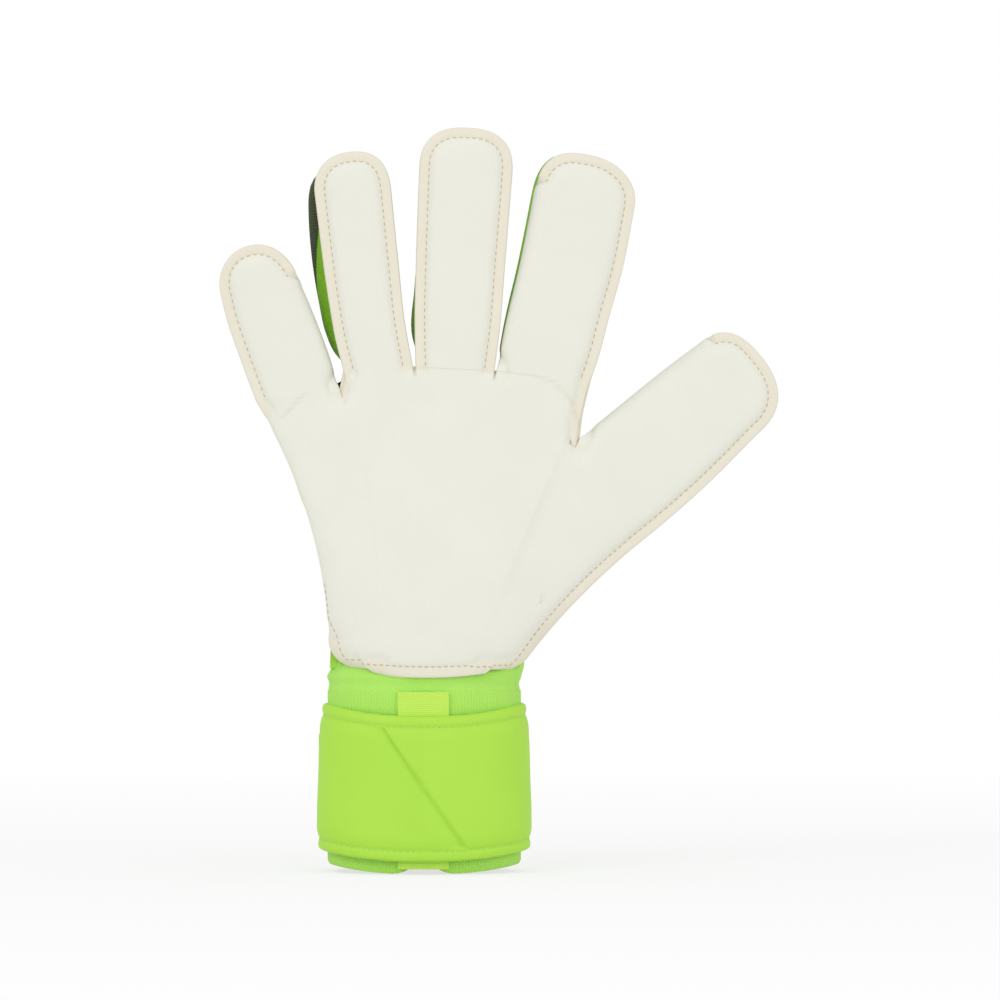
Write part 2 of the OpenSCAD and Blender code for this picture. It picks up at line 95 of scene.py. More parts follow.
# Across the latex from its outline inwards: distance from the outline, and depth behind the padded face.
# A flanged side has a flat margin, a stitched groove and a soft shoulder.
FLANGED = [(0, 4.8), (0, 3.3), (0.35, 2.7), (0.9, 2.55), (2.9, 2.5), (3.4, 2.65), (3.8, 2.8),
           (4.2, 2.4), (4.8, 1.6), (5.6, 1.0), (6.9, 0.6), (8.7, 0.35), (10.5, 0.2)]
FLANGED_INNER = [(0, 4.8), (0.2, 4.8), (0.6, 4.8), (1.2, 4.8), (2.7, 4.8), (3.2, 4.8), (3.8, 4.8),
                 (4.6, 4.9), (5.2, 6.4), (5.8, 7.1), (6.8, 7.1), (8.5, 7.1), (10.5, 7.1)]
# A rolled side wraps round to the back
ROLLED = [(2.2, 13.8), (1.1, 11.5), (0.35, 9.3), (0.05, 7.6), (0, 6.2), (0.15, 4.9), (0.55, 3.7),
          (1.25, 2.7), (2.2, 1.9), (3.5, 1.2), (5.2, 0.7), (7.4, 0.4), (10.5, 0.2)]
ROLLED_INNER = [(4.4, 13.8), (4.2, 11.5), (4.1, 9.8), (4.1, 9.0), (4.2, 8.4), (4.4, 8.0), (4.7, 7.6),
                (5.0, 7.3), (5.5, 7.2), (6.2, 7.1), (7.2, 7.1), (8.7, 7.1), (10.5, 7.1)]
TRIM_COLUMNS = 6  # how many of those points lie on the flange, the last of them on its stitches
LEVEL = FLANGED[-1][0]  # from here inwards the face is level
INNER_DEEP = FLANGED_INNER[-1][1]
HALF = len(FLANGED) + 2  # columns from a stall's outline to its spine
COLUMNS = 2 * HALF - 1

# How each stall is cut. left and right are half widths at distances up the stall, apex is where its
# tip lies across it, round is the length of its rounded tip, powers say how square its corners are,
# and shift is how far the padded back stands to one side at distances up the stall.
STALLS = {
    "little": dict(lean=-15.6, length=58.6, left=[(0, 16.4), (16, 17.7), (32, 18.6), (45, 18.0)],
                   right=[(0, 15.2), (16, 14.6), (32, 13.0), (45, 11.2)], apex=-3.5, round=19,
                   powers=(2.2, 2.1), rolled=(False, True), shift=[(0, 0), (20, -2.2)]),
    "ring": dict(lean=-7.6, length=82, left=[(0, 13.4), (12, 14.8), (26, 15.4), (70, 15.2)],
                 right=[(0, 12.8), (16, 12.0), (40, 12.6), (70, 13.6)], apex=-1.0, round=15,
                 powers=(2.2, 2.5), rolled=(False, False),
                 shift=[(0, 0), (7, -4.4), (14, -6.0), (28, -6.8), (56, -6.6), (82, -3.8)]),
    "middle": dict(lean=2.7, length=90.4, left=[(0, 14.9), (16, 16.0), (40, 16.6), (76, 17.0)],
                   right=[(0, 14.9), (16, 16.2), (40, 17.0), (76, 18.2)], apex=0.6, round=16,
                   powers=(2.5, 2.5), rolled=(False, False),
                   shift=[(0, 0), (10, -3.6), (30, -3.2), (60, -1.2)]),
    "index": dict(lean=10.6, length=84.4, left=[(0, 17.0), (16, 17.0), (40, 15.8), (72, 15.4)],
                  right=[(0, 18.6), (10, 20.0), (24, 21.0), (42, 22.6), (66, 22.8)], apex=2.0,
                  round=18, powers=(2.7, 2.2), rolled=(True, False), shift=[(0, 0), (30, -0.6)]),
    "thumb": dict(lean=50.0, length=77.8, left=[(0, 22.2), (16, 22.0), (40, 21.6), (62, 20.6)],
                  right=[(0, 22.4), (16, 22.6), (40, 21.8), (62, 19.4)], apex=-2.0, round=17,
                  powers=(2.8, 2.2), rolled=(True, False), shift=[(0, 0), (30, 1.5)]),
}

# The hand
FOOT_Z = 74.0  # the palm's lower edge at its middle
FOOT_HALF = 36.0
PANEL_FOOT_Z = 77.0
WAIST = (7.9, 2.7)  # how far the hand's outline draws in on its left and on its right
PALM_HEIGHT = 104.0  # about the palm's height, by which its rows are spaced

# The cuff
CUFF = dict(x=36.5, y=22.5, height=69.0, power=0.85, elastic=2.0, slit=4.5, lobe=4.0, tab=9.25)
YOKE = dict(top=92.0, wall=1.6, tuck=6.5)
STRAP = dict(low=8.5, height=52.0, thick=3.6, slip=0.3, deep=1.8)
# The closure's angles round the wrist, and its layers outwards
CLOSURE = dict(root=128, end=222, loop=(146, 227), hook=(150, 219), pull=(222.5, 239.5), margin=6.0,
               loop_t=1.0, hook_t=1.2, tab_t=2.6)


# ---------------------------------------------------------------- curves and grids

def lerp(a, b, t):
    return a + (b - a) * t


def smooth(t):
    t = np.clip(t, 0, 1)
    return t * t * (3 - 2 * t)


def arc(t):
    """A quarter circle falling from 1 to 0 as t runs from 0 to 1."""
    return np.sqrt(1 - np.clip(t, 0, 1) ** 2)


def curve(x, stops):
    """A smooth curve through stops, pairs of (x, value), level beyond its ends."""
    xs, ys = np.array(stops, float).T
    x = np.clip(x, xs[0], xs[-1])
    slope = np.gradient(ys, xs)
    i = np.clip(np.searchsorted(xs, x, side="right") - 1, 0, len(xs) - 2)
    h = xs[i + 1] - xs[i]
    t = (x - xs[i]) / h
    rise = t * t * (3 - 2 * t)
    return (lerp(ys[i], ys[i + 1], rise) + t * (1 - t) ** 2 * h * slope[i]
            + t * t * (t - 1) * h * slope[i + 1])


def away(points, line):
    """Distance of each point from a line of points, in the same two or three coordinates."""
    found = np.full(points.shape[:-1], 1e9)
    for a, b in zip(line[:-1], line[1:]):
        along = b - a
        t = np.clip(((points - a) @ along) / max(along @ along, 1e-12), 0, 1)
        found = np.minimum(found, np.linalg.norm(points - a - t[..., None] * along, axis=-1))
    return found


def line_of(*points, steps=24):
    """A smooth line through a few points."""
    p = np.array(points, float)
    t = np.linspace(0, len(p) - 1, steps)
    stops = np.arange(len(p))
    return np.stack([curve(t, list(zip(stops, p[:, k]))) for k in range(p.shape[1])], -1)


def grid_faces(rows, cols, closed=False, first=0):
    """Faces of a grid of points, its columns anticlockwise seen from above and its rows upwards."""
    spans = cols if closed else cols - 1
    at = lambda j, k: first + j * cols + k % cols
    return [(at(j, k), at(j, k + 1), at(j + 1, k + 1), at(j + 1, k))
            for j in range(rows - 1) for k in range(spans)]


def thick(outer, inner, faces):
    """A closed sheet between outer and inner points that match one to one."""
    n = len(outer)
    edges = {(a, b) for f in faces for a, b in zip(f, f[1:] + f[:1])}
    rim = [(b, a, a + n, b + n) for a, b in sorted(edges) if (b, a) not in edges]
    back = [tuple(i + n for i in reversed(f)) for f in faces]
    return np.vstack([outer, inner]), faces + back + rim


# ---------------------------------------------------------------- making pieces

def piece(name, points, faces, material, maps=None, values=None, angle=38, period=0):
    """A mesh from points in millimetres. maps gives each point's place in the pattern, in millimetres,
    period is the length after which a closed pattern starts again, and values names numbers kept
    with each point for the material to read."""
    mesh = bpy.data.meshes.new(name)
    mesh.from_pydata((np.asarray(points, float) * MM).tolist(), [], faces)
    for key, numbers in (values or {}).items():
        attribute = mesh.attributes.new(key, "FLOAT", "POINT")
        attribute.data.foreach_set("value", np.asarray(numbers, np.float32).ravel())
    if maps is not None:
        layer = mesh.uv_layers.new(name="pattern")
        corners = np.zeros(len(mesh.loops), np.int32)
        mesh.loops.foreach_get("vertex_index", corners)
        flat = np.asarray(maps, np.float32)[corners]
        if period:
            starts = np.repeat([p.loop_start for p in mesh.polygons], [p.loop_total for p in mesh.polygons])
            flat[:, 0] += period * (flat[starts, 0] - flat[:, 0] > period / 2)
            flat[:, 0] -= period * (flat[:, 0] - flat[starts, 0] > period / 2)
        layer.data.foreach_set("uv", flat.ravel())
    obj = bpy.data.objects.new(name, mesh)
    bpy.context.scene.collection.objects.link(obj)
    bm = bmesh.new()
    bm.from_mesh(mesh)
    bmesh.ops.remove_doubles(bm, verts=bm.verts, dist=4e-6)
    bmesh.ops.dissolve_degenerate(bm, edges=bm.edges, dist=1e-6)
    bm.to_mesh(mesh)
    bm.free()
    mesh.shade_smooth()
    mesh.set_sharp_from_angle(angle=math.radians(angle))
    mesh.materials.append(material)
    return obj


def sheet_piece(name, outer, inner, material, closed=False, maps=None, values=None, angle=38):
    """A closed sheet piece from two grids of points, with the pattern laid over the outer one."""
    rows, cols = outer.shape[:2]
    points, faces = thick(outer.reshape(-1, 3), inner.reshape(-1, 3), grid_faces(rows, cols, closed))
    period = maps[0, -1, 0] + maps[0, 1, 0] - 2 * maps[0, 0, 0] if closed and maps is not None else 0
    if maps is not None:
        maps = np.vstack([maps.reshape(-1, 2)] * 2)
    values = {key: np.tile(np.broadcast_to(v, (rows, cols)).ravel(), 2)
              for key, v in (values or {}).items()}
    return piece(name, points, faces, material, maps, values, angle, period)


def belongs(obj, node=None, body=None, fold=None):
    """Hides the CAD node that a piece stands for and ties the piece to its body; at a fold the piece's
    transform is applied instead.
    """
    if node:
        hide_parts(node)
    if fold:
        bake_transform(obj)
    else:
        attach(obj, body)
    return obj


def stitch(middle, along, out, length, radius):
    """Points and faces of one stitch: a short thread whose ends dive into the cloth."""
    side = np.cross(along, out)
    # along the thread: place, width and height
    shape = [(-0.5, 0.35, -0.8), (-0.33, 0.9, 0.1), (0.0, 1.0, 0.3), (0.33, 0.9, 0.1), (0.5, 0.35, -0.8)]
    sides = 6
    turns = np.linspace(0, 2 * math.pi, sides + 1)[:-1]
    points = [middle + along * length * t + out * radius * lift
              + radius * width * (side * math.cos(a) + out * math.sin(a))
              for t, width, lift in shape for a in turns]
    faces = [f[::-1] for f in grid_faces(len(shape), sides, True)]
    last = len(points) - 1
    return np.array(points), faces + [tuple(range(sides)), tuple(range(last, last - sides, -1))]


def stitches(name, paths, out, material, thickness=1.0):
    """Rows of stitches along paths. out is the way that the cloth faces, or a function that gives it."""
    sewing = bpy.context.scene.glove_sewing
    pitch, length = sewing.pitch / MM, sewing.length / MM
    radius = sewing.radius / MM * thickness
    points, faces, first = [], [], 0
    for path in paths:
        path = np.asarray(path, float)
        steps = np.linalg.norm(np.diff(path, axis=0), axis=1)
        run = np.concatenate([[0], np.cumsum(steps)])
        count = int(run[-1] // pitch)
        if count < 1:
            continue
        facing = out(path) if callable(out) else np.broadcast_to(np.asarray(out, float), path.shape)
        at = (np.arange(count) + 0.5) * run[-1] / count
        spot, before, after, normal = (
            np.stack([np.interp(q, run, column[:, k]) for k in range(3)], -1)
            for q, column in ((at, path), (at - length / 2, path), (at + length / 2, path), (at, facing)))
        for s, a, b, o in zip(spot, before, after, normal):
            along = (b - a) / max(np.linalg.norm(b - a), 1e-9)
            o = o - along * (o @ along)
            made, found = stitch(s, along, o / np.linalg.norm(o), length, radius)
            points.append(made)
            faces += [tuple(k + first for k in f) for f in found]
            first += len(made)
    return piece(name, np.vstack(points), faces, MATERIALS[material], angle=80)


# ---------------------------------------------------------------- stalls

class Fold:
    """Where a stall bends: the two bodies that meet there, and where the bend starts and ends."""

    def __init__(self, joint):
        self.parent, self.child = joint["parent"], joint["child"]
        axis = Vector(joint["axis"]).normalized()
        self.point = Vector(joint["pos_m"])
        up = Vector((-axis.z, 0, axis.x))
        self.start = tuple(self.point)
        self.end = tuple(self.point + up * BLEND * MM)


class Stall:
    """One finger's sleeve: its outline, its sections, and where they stand in the row frame."""

    def __init__(self, name):
        cut = STALLS[name]
        self.name, self.cut = name, cut
        self.length, self.round = cut["length"], cut["round"]
        self.lean = math.radians(cut["lean"])
        segments = ["proximal", "tip"] if name == "thumb" else SEGMENTS
        keys = ["base"] + segments[1:]
        joints = {j["name"]: j for j in frame["joints"]}
        self.folds = [Fold(joints[f"{name}_{key}_fold"]) for key in keys]
        self.segments = list(zip(segments, self.folds))
        axis = joints[f"{name}_base_fold"]["axis"]
        self.turn = math.atan2(-axis[2], axis[0])
        base = self.folds[0].point / MM
        self.x, self.z = base.x, base.z
        up = Vector((math.sin(self.lean), 0, math.cos(self.lean)))
        self.stops = [0.0] + [(f.point / MM - base).dot(up) for f in self.folds[1:]]
        self.shoulder = self.length - self.round

    def place(self, u, y, s):
        """Points of the row frame from places across, deep and along the stall."""
        u, y, s = np.broadcast_arrays(np.asarray(u, float), y, s)
        last = self.stops[-1]
        fade = 1 - smooth((s - last) / (self.length - last))
        t = s + u * math.tan(self.lean - self.turn) * fade
        bow = -TIP_BOW * (np.maximum(s, 0) / self.length) ** 2
        return np.stack([self.x + u * math.cos(self.lean) + t * math.sin(self.lean), y + bow,
                         self.z - u * math.sin(self.lean) + t * math.cos(self.lean)], -1)

    def edge(self, side, s, inset=0.0):
        """Where the outline lies on one side, drawn in by inset."""
        apex, power = self.cut["apex"], self.cut["powers"][side > 0]
        half = curve(np.minimum(s, self.shoulder), self.cut["right" if side > 0 else "left"]) - inset
        q = np.clip((s - self.shoulder) / (self.round - inset), 0, 1)
        spread = np.clip(1 - q ** power, 0, 1) ** (1 / power)
        return side * lerp(side * apex, half, spread)

    def spine(self, s):
        return self.cut["apex"] * smooth(np.asarray(s, float) / self.shoulder)

    def roll(self, side, q=0.0):
        """How far a side is rolled; q runs from 0 to 1 round the tip from the side to the apex."""
        return float(self.cut["rolled"][side > 0]) * (1 - smooth((q - 0.10) / 0.18))

    def profile(self, side, q, s, inner=False):
        """Distances in from the outline and places in depth of a section's outer columns."""
        share = self.roll(side, q) * smooth(s / 9.0)
        flat, wrap = (FLANGED_INNER, ROLLED_INNER) if inner else (FLANGED, ROLLED)
        return lerp(np.array(flat, float), np.array(wrap, float), share).T

    def half_section(self, side, rim, hub, q=0.0, inner=False):
        """Columns from a point on the outline in to the spine: (across, along) and depth."""
        d, deep = self.profile(side, q, hub[1], inner)
        reach = np.linalg.norm(hub - rim)
        towards = (hub - rim) / reach
        d = np.append(d, [0.5 * (LEVEL + reach), reach])
        deep = np.append(deep, [INNER_DEEP, INNER_DEEP] if inner else [0.05, 0.0])
        return rim + towards * d[:, None], FACE_Y + deep

    def section(self, s, inner=False):
        """A whole row across the stall at one place along it."""
        hub = np.array([self.spine(s), s])
        halves = [self.half_section(side, np.array([self.edge(side, s), s]), hub, 0.0, inner)
                  for side in (-1, 1)]
        flat = np.vstack([halves[0][0], halves[1][0][-2::-1]])
        deep = np.concatenate([halves[0][1], halves[1][1][-2::-1]])
        return self.place(flat[:, 0], deep, flat[:, 1])

    def rim_angle(self, angle):
        """A point of the rounded tip, for an angle from 0 on the left to pi on the right."""
        side = 1 if angle > math.pi / 2 else -1
        power = self.cut["powers"][side > 0]
        a = abs(self.edge(side, self.shoulder) - self.cut["apex"])
        c, v = math.cos(angle), math.sin(angle)
        r = (abs(c / a) ** power + abs(v / self.round) ** power) ** (-1 / power)
        return side, np.array([self.cut["apex"] - r * c, self.shoulder + r * v])

    def rows(self, i, step=1.25):
        """Places along the stall of a segment's rows; a tip's stop at its shoulder."""
        start = self.stops[i]
        end = self.stops[i + 1] if i + 1 < len(self.stops) else self.shoulder
        return np.linspace(start, end, max(4, round((end - start) / step)))


def make_stalls():
    return {name: Stall(name) for name in STALLS}


def trim_of(stall):
    """How much each column of a section is flange."""
    half = np.zeros(HALF)
    half[:TRIM_COLUMNS] = 1
    left, right = (half * (1 - stall.roll(side)) for side in (-1, 1))
    return np.concatenate([left, right[-2::-1]])


def stall_latex(stall, i):
    """The latex of one segment of a stall, rounded over the tip by a fan of half sections."""
    name, fold = stall.segments[i]
    rows = stall.rows(i)
    outer = np.array([stall.section(s) for s in rows])
    inner = np.array([stall.section(s, True) for s in rows])
    faces = grid_faces(len(rows), COLUMNS)
    points, backs = outer.reshape(-1, 3), inner.reshape(-1, 3)
    over = []
    trims = np.tile(trim_of(stall), len(rows))
    maps = np.stack([np.tile(np.linspace(-17, 17, COLUMNS), len(rows)), np.repeat(rows, COLUMNS)], -1)
    if i == len(stall.segments) - 1:
        hub = np.array([stall.cut["apex"], stall.shoulder])
        ring = (len(rows) - 1) * COLUMNS
        previous = list(range(ring, ring + HALF))
        for angle in np.linspace(0, math.pi, 46)[1:-1]:
            side, rim = stall.rim_angle(angle)
            q = 1 - abs(angle - math.pi / 2) / (math.pi / 2)
            fan = []
            for is_inner in (False, True):
                flat, deep = stall.half_section(side, rim, hub, q, is_inner)
                fan.append(stall.place(flat[:-1, 0], deep[:-1], flat[:-1, 1]))
            first = len(points)
            points, backs = np.vstack([points, fan[0]]), np.vstack([backs, fan[1]])
            flanged = 1 - stall.roll(side, q)
            if flanged > 0.5:
                over.append(fan[0][TRIM_COLUMNS])
            trims = np.append(trims, [flanged * (k < TRIM_COLUMNS) for k in range(HALF - 1)])
            maps = np.vstack([maps, flat[:-1]])
            now = list(range(first, first + HALF - 1)) + [previous[-1]]
            faces += fan_faces(previous, now)
            previous = now
        last = list(range(ring + COLUMNS - 1, ring + HALF - 2, -1))
        faces += fan_faces(previous, last)
    points, faces = thick(points, backs, faces)
    obj = piece(f"{stall.name}_latex_{name}", points, faces, MATERIALS["latex"],
                np.vstack([maps, maps]), {"trim": np.tile(trims, 2), "seam": np.zeros(len(points))})
    belongs(obj, f"{stall.name}_palm_{name}", fold=fold)
    # up the left flange, over the tip and down the right one, where each is sewn
    rolled = stall.cut["rolled"]
    left = [] if rolled[0] else [outer[:, TRIM_COLUMNS]]
    right = [] if rolled[1] else [outer[::-1, COLUMNS - 1 - TRIM_COLUMNS]]
    paths = [np.vstack(left + [np.array(over)] + right)] if over else left + right
    thread = stitches(f"{stall.name}_stitches_{name}", paths, (0, -1, 0), "pale_thread")
    belongs(thread, fold=fold)


def fan_faces(before, after):
    """Faces between two half sections of a fan that share their last point."""
    n = len(before)
    strips = [(before[k], before[k + 1], after[k + 1], after[k]) for k in range(n - 2)]
    return strips + [(before[n - 2], before[n - 1], after[n - 2])]


BAND = 0.62  # across a stall's back, the share of its half width where the side bands begin


def back_depth(stall, s):
    """How much of the full depth is left towards the tip."""
    end = stall.length - FLANGE_W
    return arc((s - (end - TIP_ROUND)) / TIP_ROUND)


def leaning(stall, s, y):
    """How far the back stands to the side, more so towards its outside and up the stall."""
    return curve(s, stall.cut["shift"]) * np.clip((y - SEAM_Y) / GUSSET_D, 0, 1)


def back_row(stall, s, wall, columns=35):
    """A row of the padded back, from its right seam over to its left seam."""
    deep = back_depth(stall, s)
    foot = lerp(SEAM_Y, SEAM_Y + GUSSET_D, deep)
    rise = np.maximum(0.05, (BACK_Y - SEAM_Y - GUSSET_D) * deep - wall)
    q = np.linspace(0, math.pi, columns)
    c = np.cos(q)
    past_roll = lerp(FLANGE_W, -0.2, smooth(s / 9))
    left, right = (stall.edge(side, s, past_roll if stall.cut["rolled"][side > 0] else FLANGE_W) - side * wall
                   for side in (-1, 1))
    middle, half = (right + left) / 2, np.maximum((right - left) / 2, 0.2)
    u = middle + half * np.sign(c) * np.abs(c) ** 0.8
    y = foot + rise * np.sin(q) ** 0.8
    pad = np.zeros(columns)
    if not wall:
        # padded cushions with a channel at each fold and one down each side
        for stop in stall.stops[1:] + [-4.0]:
            pad = np.minimum(pad, -1.0 * np.exp(-((s - stop) / 1.5) ** 2))
        inside = np.exp(-((np.abs(c) - BAND) / 0.05) ** 2)
        full = 0.3 * smooth((BAND - 0.02 - np.abs(c)) / 0.3)
        pad = (pad * smooth((BAND - np.abs(c)) / 0.12) - 0.8 * inside + full) * deep
    y = y + pad * np.sin(q)
    return stall.place(u + leaning(stall, s, y), y, s)


def stall_back(stall, i):
    """The padded back of one segment of a stall."""
    name, fold = stall.segments[i]
    final = i == len(stall.segments) - 1
    end = stall.length - FLANGE_W
    rows = stall.rows(i)
    if final:
        tail = end - TIP_ROUND * (1 - np.sin(np.linspace(0, math.pi / 2, 16)))
        rows = np.concatenate([rows[rows < tail[0] - 0.4], tail])
    inner_rows = lerp(rows[0], end - BACK_T, (rows - rows[0]) / (end - rows[0])) if final else rows
    outer = np.array([back_row(stall, s, 0.0) for s in rows])
    inner = np.array([back_row(stall, s, BACK_T) for s in inner_rows])
    across = np.linspace(0, math.pi, outer.shape[1])
    maps = np.stack(np.meshgrid(across * 15, rows), -1)
    left, right = stall.cut["rolled"]
    band = smooth((np.abs(np.cos(across)) - BAND) / 0.03) * (1 - np.where(np.cos(across) > 0, right, left))
    obj = sheet_piece(f"{stall.name}_padding_{name}", outer, inner, MATERIALS["back"],
                      maps=maps, values={"side": band[None, :]})
    return belongs(obj, f"{stall.name}_back_{name}", fold=fold)


def stall_gusset(stall, i):
    """The stretch strips between latex and back on the flanged sides of one segment."""
    name, fold = stall.segments[i]
    rows = stall.rows(i)
    if i == len(stall.segments) - 1:
        rows = np.concatenate([rows, np.linspace(stall.shoulder, stall.length - FLANGE_W - 1, 12)[1:]])
    v = np.linspace(0, 1, 19)
    points, faces, maps, dark = np.zeros((0, 3)), [], np.zeros((0, 2)), np.zeros(0)
    for side in (-1, 1):
        if stall.cut["rolled"][side > 0]:
            continue
        sheets = []
        order = slice(None) if side > 0 else slice(None, None, -1)
        # the spacer mesh of the back comes further forward towards the tip
        front = curve(rows, [(0, 1.4), (24, 1.1), (40, 0.7), (56, 0.25), (70, -0.2)])[:, None]
        shade = smooth((v[None, :] - front) / 0.06 + 0.5)[:, order].ravel()
        for wall in (0.0, GUSSET_T):
            grid = []
            for s in rows:
                reach = GUSSET_D * max(0.1, float(back_depth(stall, s)))
                u = stall.edge(side, s, FLANGE_W + wall - 0.2) + side * 0.9 * np.sin(math.pi * v)
                y = SEAM_Y + reach * v
                grid.append(stall.place((u + leaning(stall, s, y))[order], y[order], s))
            sheets.append(np.array(grid).reshape(-1, 3))
        made, found = thick(*sheets, grid_faces(len(rows), len(v)))
        faces += [tuple(k + len(points) for k in f) for f in found]
        points = np.vstack([points, made])
        flat = np.stack(np.meshgrid(v * GUSSET_D, rows), -1).reshape(-1, 2)
        maps = np.vstack([maps, flat, flat])
        dark = np.concatenate([dark, shade, shade])
    obj = piece(f"{stall.name}_gusset_cloth_{name}", points, faces, MATERIALS["gusset"], maps,
                {"side": dark})
    return belongs(obj, f"{stall.name}_gusset_{name}", fold=fold)


# ---------------------------------------------------------------- the hand

def web_line(stalls):
    """The free edge between the index stall and the thumb."""
    a = stalls["index"].place(stalls["index"].edge(1, 0.0), 0, 0)
    b = stalls["thumb"].place(stalls["thumb"].edge(-1, 0.0), 0, 0)
    return line_of(a[[0, 2]], lerp(a, b, 0.55)[[0, 2]] - (0.6, 0), b[[0, 2]], steps=14)


def palm_top(stalls, inner=False):
    """The palm's upper edge along the fold lines, with the free edges between the stalls."""
    points, trims = [], []
    for name in FINGERS + ["thumb"]:
        stall = stalls[name]
        row = stall.section(0.0, inner)
        if name == "ring":
            step = np.linspace(points[-1][-1], row[0], 5)[1:-1]
            points.append(step)
            trims.append(np.ones(len(step)))
        if name == "thumb":
            edge = web_line(stalls)[1:-1]
            points.append(np.stack([edge[:, 0], np.full(len(edge), FACE_Y + 4.8), edge[:, 1]], -1))
            trims.append(np.ones(len(edge)))
        points.append(row)
        trims.append(trim_of(stall))
    return np.vstack(points), np.concatenate(trims)


def flange_depth(gap, inner=False):
    """Depth behind the padded face at a distance in from a flanged edge."""
    d, deep = np.array(FLANGED_INNER if inner else FLANGED[1:], float).T
    return np.interp(gap, d, deep)


def spread(first, last, fixed, count):
    """Places from first to last: fixed distances in from each end, and the rest evenly between."""
    fixed = np.array(fixed, float)
    inner = np.linspace(first + fixed[-1], last - fixed[-1], count - 2 * len(fixed) + 2)
    return np.concatenate([first + fixed, inner[1:-1], last - fixed[::-1]])


def palm_places(stalls, top):
    """The palm's rows, as shares of its height, and where each of its points lies across and up."""
    n = len(top)
    d = [q for q, _ in FLANGED]
    foot_x = spread(-FOOT_HALF, FOOT_HALF, d, n)
    foot_z = FOOT_Z - 0.4 + 3.0 * (foot_x / FOOT_HALF) ** 2
    near_top = np.array([6, 5, 4, 3.2, 2.5, 1.9, 1.4, 1.0, 0.7, 0.45, 0.25, 0.1, 0])
    ts = np.concatenate([np.array(d) / PALM_HEIGHT, np.linspace(0.115, 0.7, 46),
                         np.linspace(0.708, 0.935, 40), 1 - near_top / PALM_HEIGHT])
    ts[1] = 0.02 / PALM_HEIGHT
    t = ts[:, None]
    u = np.arange(n) / (n - 1)
    waist = 4 * t * (1 - t) * lerp(WAIST[0], -WAIST[1], u)[None, :]
    x = lerp(foot_x[None, :], top[None, :, 0], t) + waist
    z = lerp(foot_z[None, :], top[None, :, 2], t)
    # the outer columns keep the flange's distances all the way down
    for side, first in ((-1, 0), (1, n - 1)):
        turn = stalls["little" if side < 0 else "thumb"].turn * smooth(ts)
        for c in range(1, len(d)):
            at = first - side * c
            x[:, at] = x[:, first] - side * d[c] * np.cos(turn)
            z[:, at] = z[:, first] + side * d[c] * np.sin(turn)
    # rounded lower corners: how far each reaches across and up
    for side, first, across, up in ((-1, 0, 13.0, 11.0), (1, n - 1, 4.5, 5.0)):
        draw = across * (1 - arc(1 - np.clip((z[:, first] - z[0, first]) / up, 0, 1)))
        share = smooth((np.abs(foot_x) - 6) / (FOOT_HALF - 6)) * (np.sign(foot_x) == side)
        x = x - side * draw[:, None] * share[None, :]
    return ts, x, z


def palm_face(x, t):
    """The palm's padded face before its edges are worked: over the wrist at its foot, then level."""
    lateral = np.abs(2 * (x - x[:, :1]) / (x[:, -1:] - x[:, :1]) - 1)
    wrist_y = CUFF["y"] - 0.1
    over_wrist = (wrist_y * np.clip(1 - (lateral / 1.05) ** (2 / CUFF["power"]), 0, 1) ** (CUFF["power"] / 2)
                  + 2.9 + 2.8 * lateral ** 2)
    drop = np.maximum(0, over_wrist + FACE_Y)
    return FACE_Y - drop * (1 - smooth(t * 1.05)) ** 1.1


def palm_seams(stalls):
    """The sewn lines across the palm, where the fingers' latex is joined on."""
    index, middle = stalls["index"], stalls["middle"]
    return [line_of(index.place(-17, 0, 0)[[0, 2]], (36, 187.8), (47, 185.2), (55, 178), (58.2, 168)),
            line_of((-43.5, 181.5), (-48, 177), (-52.5, 171.5)),
            np.array([middle.place(-12, 0, 0)[[0, 2]], middle.place(12, 0, 0)[[0, 2]]])]


